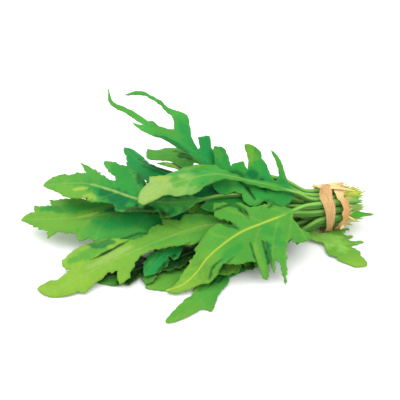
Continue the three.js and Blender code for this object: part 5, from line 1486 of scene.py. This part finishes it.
def wrap_strip(path, rows, base, thick, count, columns, tones, random):
    """A closed turn of pleated raffia round the stems"""
    run, angle = path["run"], path["angle"]
    u = np.linspace(-1, 1, columns)
    fold = pleats(u[None], run[:, None], count, random)
    edge = np.sqrt(1 - EDGE_THINNING * u**4)[None]
    ragged = random.normal(0, 1, (2, len(run) + RAGGED_RUN - 1))
    mean = np.ones(RAGGED_RUN) / RAGGED_RUN
    ragged = 1 + RAFFIA_RAGGED * np.array([np.convolve(side, mean, "valid") for side in ragged])
    half = turn_value(rows, angle, 2)[:, None]
    across = half * u * np.where(u > 0, ragged[0][:, None], ragged[1][:, None])
    lying = base(angle)[:, None]
    top = lying + thick * edge + PLEAT_DEPTH * (fold - 1) * edge
    height = np.hstack([top, lying, lying])
    across = np.hstack([across, across[:, [-1, 0]]])
    x = turn_value(rows, angle, 1)[:, None] + across
    place = path["place"][:, None] + height[..., None] * path["outward"][:, None]
    loops = np.concatenate([x[..., None], place], -1)
    # painted shade: dark pleat grooves and a dark hidden underside, painted light on the ridges
    shade = np.hstack([fold, np.full((len(run), 2), UNDER_SHADE)])
    marks = np.stack([np.repeat(run[:, None], columns + 2, 1), across], -1)
    share = tones[2](angle)[:, None, None]
    colours = blend(raffia_tone(shade, *tones[0]), raffia_tone(shade, *tones[1]), share)
    return {"loops": loops, "faces": sweep(loops, True), "colours": colours, "marks": marks}


def strand(knots, thick, tones, random):
    """A loose strand of raffia through knots of (x, y, z, half width)"""
    knots = np.array(knots, float)
    points, lengths = smooth_curve(knots[:, :3], STRAND_STEPS)
    run = np.linspace(0, lengths[-1], max(8, round(lengths[-1] / RAFFIA_STEP)))
    centre = np.stack([np.interp(run, lengths, points[:, k]) for k in range(3)], -1)
    knot_runs = lengths[np.arange(len(knots)) * STRAND_STEPS]
    half = np.interp(run, knot_runs, knots[:, 3])[:, None, None]
    along = unit(np.gradient(centre, axis=0))
    across = unit(np.cross(STRAND_SIDE, along))
    upward = np.cross(along, across)
    u = np.linspace(-1, 1, STRAND_COLUMNS)
    fold = pleats(u[None], run[:, None], STRAND_PLEATS, random)
    rise = thick * np.sqrt(1 - EDGE_THINNING * u**4) * (1 - STRAND_RIDGES + STRAND_RIDGES * fold)
    flat = np.append(u, u[::-1][1:-1])
    height = np.hstack([rise / 2, -thick / 4 * np.ones((len(run), STRAND_COLUMNS - 2))])
    loops = centre[:, None] + half * flat[:, None] * across[:, None] + height[..., None] * upward[:, None]
    # painted shade: dark pleat grooves and a dark hidden underside, painted light on the ridges
    shade = np.hstack([fold, UNDER_SHADE * np.ones((len(run), STRAND_COLUMNS - 2))])
    marks = np.stack([np.repeat(run[:, None], len(flat), 1), half[:, 0] * flat], -1)
    return {"loops": loops, "faces": sweep(loops, False), "colours": raffia_tone(shade, *tones),
        "marks": marks}


def fibre(centre, radius, tones, random):
    """A single thin fibre with pointed ends along its points"""
    run = np.append(0, np.cumsum(np.linalg.norm(np.diff(centre, axis=0), axis=1)))
    along = unit(np.gradient(centre, axis=0))
    across = unit(np.cross(STRAND_SIDE, along))
    upward = np.cross(along, across)
    share = FIBRE_POINT + (1 - 2 * FIBRE_POINT) * run / run[-1]
    size = radius * np.maximum(FIBRE_END, np.sin(math.pi * share) ** 0.5)
    turn = 2 * math.pi * np.arange(FIBRE_SIDES) / FIBRE_SIDES
    ring = np.cos(turn)[:, None] * across[:, None] + np.sin(turn)[:, None] * upward[:, None]
    loops = centre[:, None] + size[:, None, None] * ring
    shade = np.full(loops.shape[:2], random.uniform(*FIBRE_SHADES))
    around = np.repeat(turn[None] * radius, len(run), 0)
    marks = np.stack([np.repeat(run[:, None], FIBRE_SIDES, 1), around], -1)
    return {"loops": loops, "faces": sweep(loops, False), "colours": raffia_tone(shade, *tones),
        "marks": marks}


def turn_base(angle):
    """How far out the second turn lies: it climbs on the band where they meet"""
    band_edge = turn_value(BAND, angle, 1) + turn_value(BAND, angle, 2)
    gap = turn_value(TURN, angle, 1) - turn_value(TURN, angle, 2) - band_edge
    return RAFFIA_BASE + TURN_CLIMB * (1 - ease(*TURN_MEETS, gap))


def on_wrap(path, angle, x, height):
    """A place on the wrap at an angle, a distance out from the stems"""
    at = [np.interp(angle, path["angle"], values) for values in (*path["place"].T, *path["outward"].T)]
    return np.column_stack([x, at[0] + height * at[2], at[1] + height * at[3]])


def tie_fibres(path, random):
    """Fine fibres that lie on the band, and short ones that stand off the second turn"""
    made = []
    for _ in range(BAND_FIBRES):
        t = np.linspace(0, 1, BAND_FIBRE_STEPS)
        angle = random.uniform(*BAND_FIBRE_FROM) + t * random.uniform(*BAND_FIBRE_SPAN)
        angle = np.minimum(BAND_FIBRE_LAST, angle)
        u = random.uniform(-BAND_FIBRE_SIDE, BAND_FIBRE_SIDE)
        u = u + BAND_FIBRE_SWAY * np.sin(3 * t + random.uniform(0, 6))
        lift = BAND_FIBRE_LIFT * np.abs(2 * t - 1) ** 3 * random.uniform(0, 1)
        height = RAFFIA_BASE + BAND_THICK + lift
        x = turn_value(BAND, angle, 1) + turn_value(BAND, angle, 2) * u
        made.append(fibre(on_wrap(path, angle, x, height), random.uniform(*BAND_FIBRE_SIZE),
            ("straw_dark", "straw_pale"), random))
    for _ in range(TURN_FIBRES):
        t = np.linspace(0, 1, TURN_FIBRE_STEPS)
        angle = random.uniform(*TURN_FIBRE_FROM) + t * random.uniform(-TURN_FIBRE_SLANT, TURN_FIBRE_SLANT)
        side = random.uniform(*TURN_FIBRE_SIDE)
        from_x = turn_value(TURN, angle, 1) + turn_value(TURN, angle, 2) * side
        x = from_x + t * random.uniform(*TURN_FIBRE_LENGTH)
        height = turn_base(angle) + TURN_THICK + random.uniform(*TURN_FIBRE_LIFT) * t**1.5
        made.append(fibre(on_wrap(path, angle, x, height), random.uniform(*TURN_FIBRE_SIZE),
            ("straw_orange", "straw_pale"), random))
    return made


def make_tie(material):
    """The raffia tie: the band, its second turn, a curl, loose ends and fibres"""
    random = np.random.default_rng(TIE_SEED)
    path = wrap_path()
    straw = ("straw_dark", "straw")
    pale = ("straw", "straw_pale")
    front = ("straw_orange", "straw")
    pieces = [
        wrap_strip(path, BAND, lambda angle: RAFFIA_BASE + 0 * angle, BAND_THICK, BAND_PLEATS,
            BAND_COLUMNS, (straw, pale, lambda angle: PALE_IN_BAND * np.ones(len(angle))), random),
        wrap_strip(path, TURN, turn_base, TURN_THICK, TURN_PLEATS, TURN_COLUMNS,
            (front, pale, lambda angle: 1 - ease(*PALE_FROM, angle)), random),
    ]
    pieces += [strand(knots, STRAND_THICK, pale, random) for knots in STRANDS]
    pieces += tie_fibres(path, random)
    points, faces, colours, marks = [], [], [], []
    for number, piece in enumerate(pieces):
        first = sum(len(part) for part in points)
        points.append(piece["loops"].reshape(-1, 3))
        faces += [[v + first for v in face] for face in piece["faces"]]
        colours.append(piece["colours"].reshape(-1, 3))
        spots = piece["marks"].reshape(-1, 2) * MM
        shift = np.full(len(spots), PIECE_SHIFT * number)
        marks.append(np.column_stack([GRAIN_STRETCH * spots[:, 0], spots[:, 1], shift]))
    points = np.vstack(points)
    points[:, 2] = np.maximum(points[:, 2], 0)
    made = make_mesh("raffia_wrap", points, faces, {
        "tone": with_alpha(np.clip(np.vstack(colours), 0, 1)),
        "place": np.vstack(marks),
    })
    made.data.materials.append(material)
    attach(made, "root")
    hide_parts("raffia_tie")


def raffia_material():
    """Raffia: painted straw tones with fine streaks and ridges along the fibres"""
    material, shader = new_material("raffia_straw")
    grain = grain_of(material, RAFFIA_GRAIN, RAFFIA_GRAIN_DETAIL, attribute(material, "place", "Vector"))
    material.node_tree.links.new(grained_tones(material, grain, RAFFIA_GRAIN_TONES),
        shader.inputs["Base Color"])
    relief_and_sheen(material, shader, grain, RAFFIA_BUMP, grain, RAFFIA_ROUGHNESS)
    shader.inputs["Specular IOR Level"].default_value = RAFFIA_SPECULAR
    return material


slots = {part["node"]: part["material_slot"] for part in frame["record"]["subparts"]}
leaf_materials = {
    slot: leaf_material(slot + "_skin", roughness) for slot, roughness in LEAF_ROUGHNESS.items()
}
for number, one_leaf in enumerate(LEAVES):
    make_leaf(number, one_leaf, leaf_materials[slots[one_leaf["name"]]])
make_tie(raffia_material())

# Stage, light and camera
floor_mesh = bpy.data.meshes.new("floor")
floor_mesh.from_pydata(
    [(-FLOOR_HALF, -FLOOR_HALF, 0), (FLOOR_HALF, -FLOOR_HALF, 0), (FLOOR_HALF, FLOOR_HALF, 0),
        (-FLOOR_HALF, FLOOR_HALF, 0)], [], [(0, 1, 2, 3)])
floor = bpy.data.objects.new("floor", floor_mesh)
floor.location.z = -FLOOR_DROP
bpy.context.scene.collection.objects.link(floor)
floor_material, floor_shader = new_material("floor_white")
floor_shader.inputs["Base Color"].default_value = (FLOOR_WHITE, FLOOR_WHITE, FLOOR_WHITE, 1)
floor_shader.inputs["Roughness"].default_value = FLOOR_ROUGHNESS
floor_mesh.materials.append(floor_material)

world = bpy.data.worlds.new("studio")
world.use_nodes = True
world.node_tree.nodes["Background"].inputs["Color"].default_value = (1, 1, 1, 1)
world.node_tree.nodes["Background"].inputs["Strength"].default_value = SKY_POWER * LIGHT_SHARE
bpy.context.scene.world = world


def soft_light(name, place, power):
    """A square soft light that looks at the bunch"""
    data = bpy.data.lights.new(name, "AREA")
    data.size = LIGHT_SIZE
    data.energy = power * LIGHT_SHARE
    light = bpy.data.objects.new(name, data)
    light.location = place
    light.rotation_mode = "QUATERNION"
    light.rotation_quaternion = (Vector(LIGHT_AIM) - Vector(place)).to_track_quat("-Z", "Y")
    bpy.context.scene.collection.objects.link(light)


soft_light("key_light", KEY_PLACE, KEY_POWER)
soft_light("fill_light", FILL_PLACE, FILL_POWER)

bpy.context.scene.view_settings.view_transform = "Standard"

turn, rise = math.radians(CAMERA_TURN), math.radians(CAMERA_RISE)
right = Vector((math.cos(turn), math.sin(turn), 0))
forward = Vector((
    -math.sin(turn) * math.cos(rise),
    math.cos(turn) * math.cos(rise),
    -math.sin(rise),
))
camera_data = bpy.data.cameras.new("camera")
camera_data.lens = CAMERA_LENS
camera_data.sensor_width = CAMERA_SENSOR
camera = bpy.data.objects.new("camera", camera_data)
look_at = LOOK_RIGHT * right + LOOK_UP * right.cross(forward) + Vector((BUNCH_X, 0, 0))
camera.location = (look_at - CAMERA_AWAY * forward) * MM
camera.rotation_mode = "QUATERNION"
camera.rotation_quaternion = forward.to_track_quat("-Z", "Y")
bpy.context.scene.collection.objects.link(camera)
bpy.context.scene.camera = camera
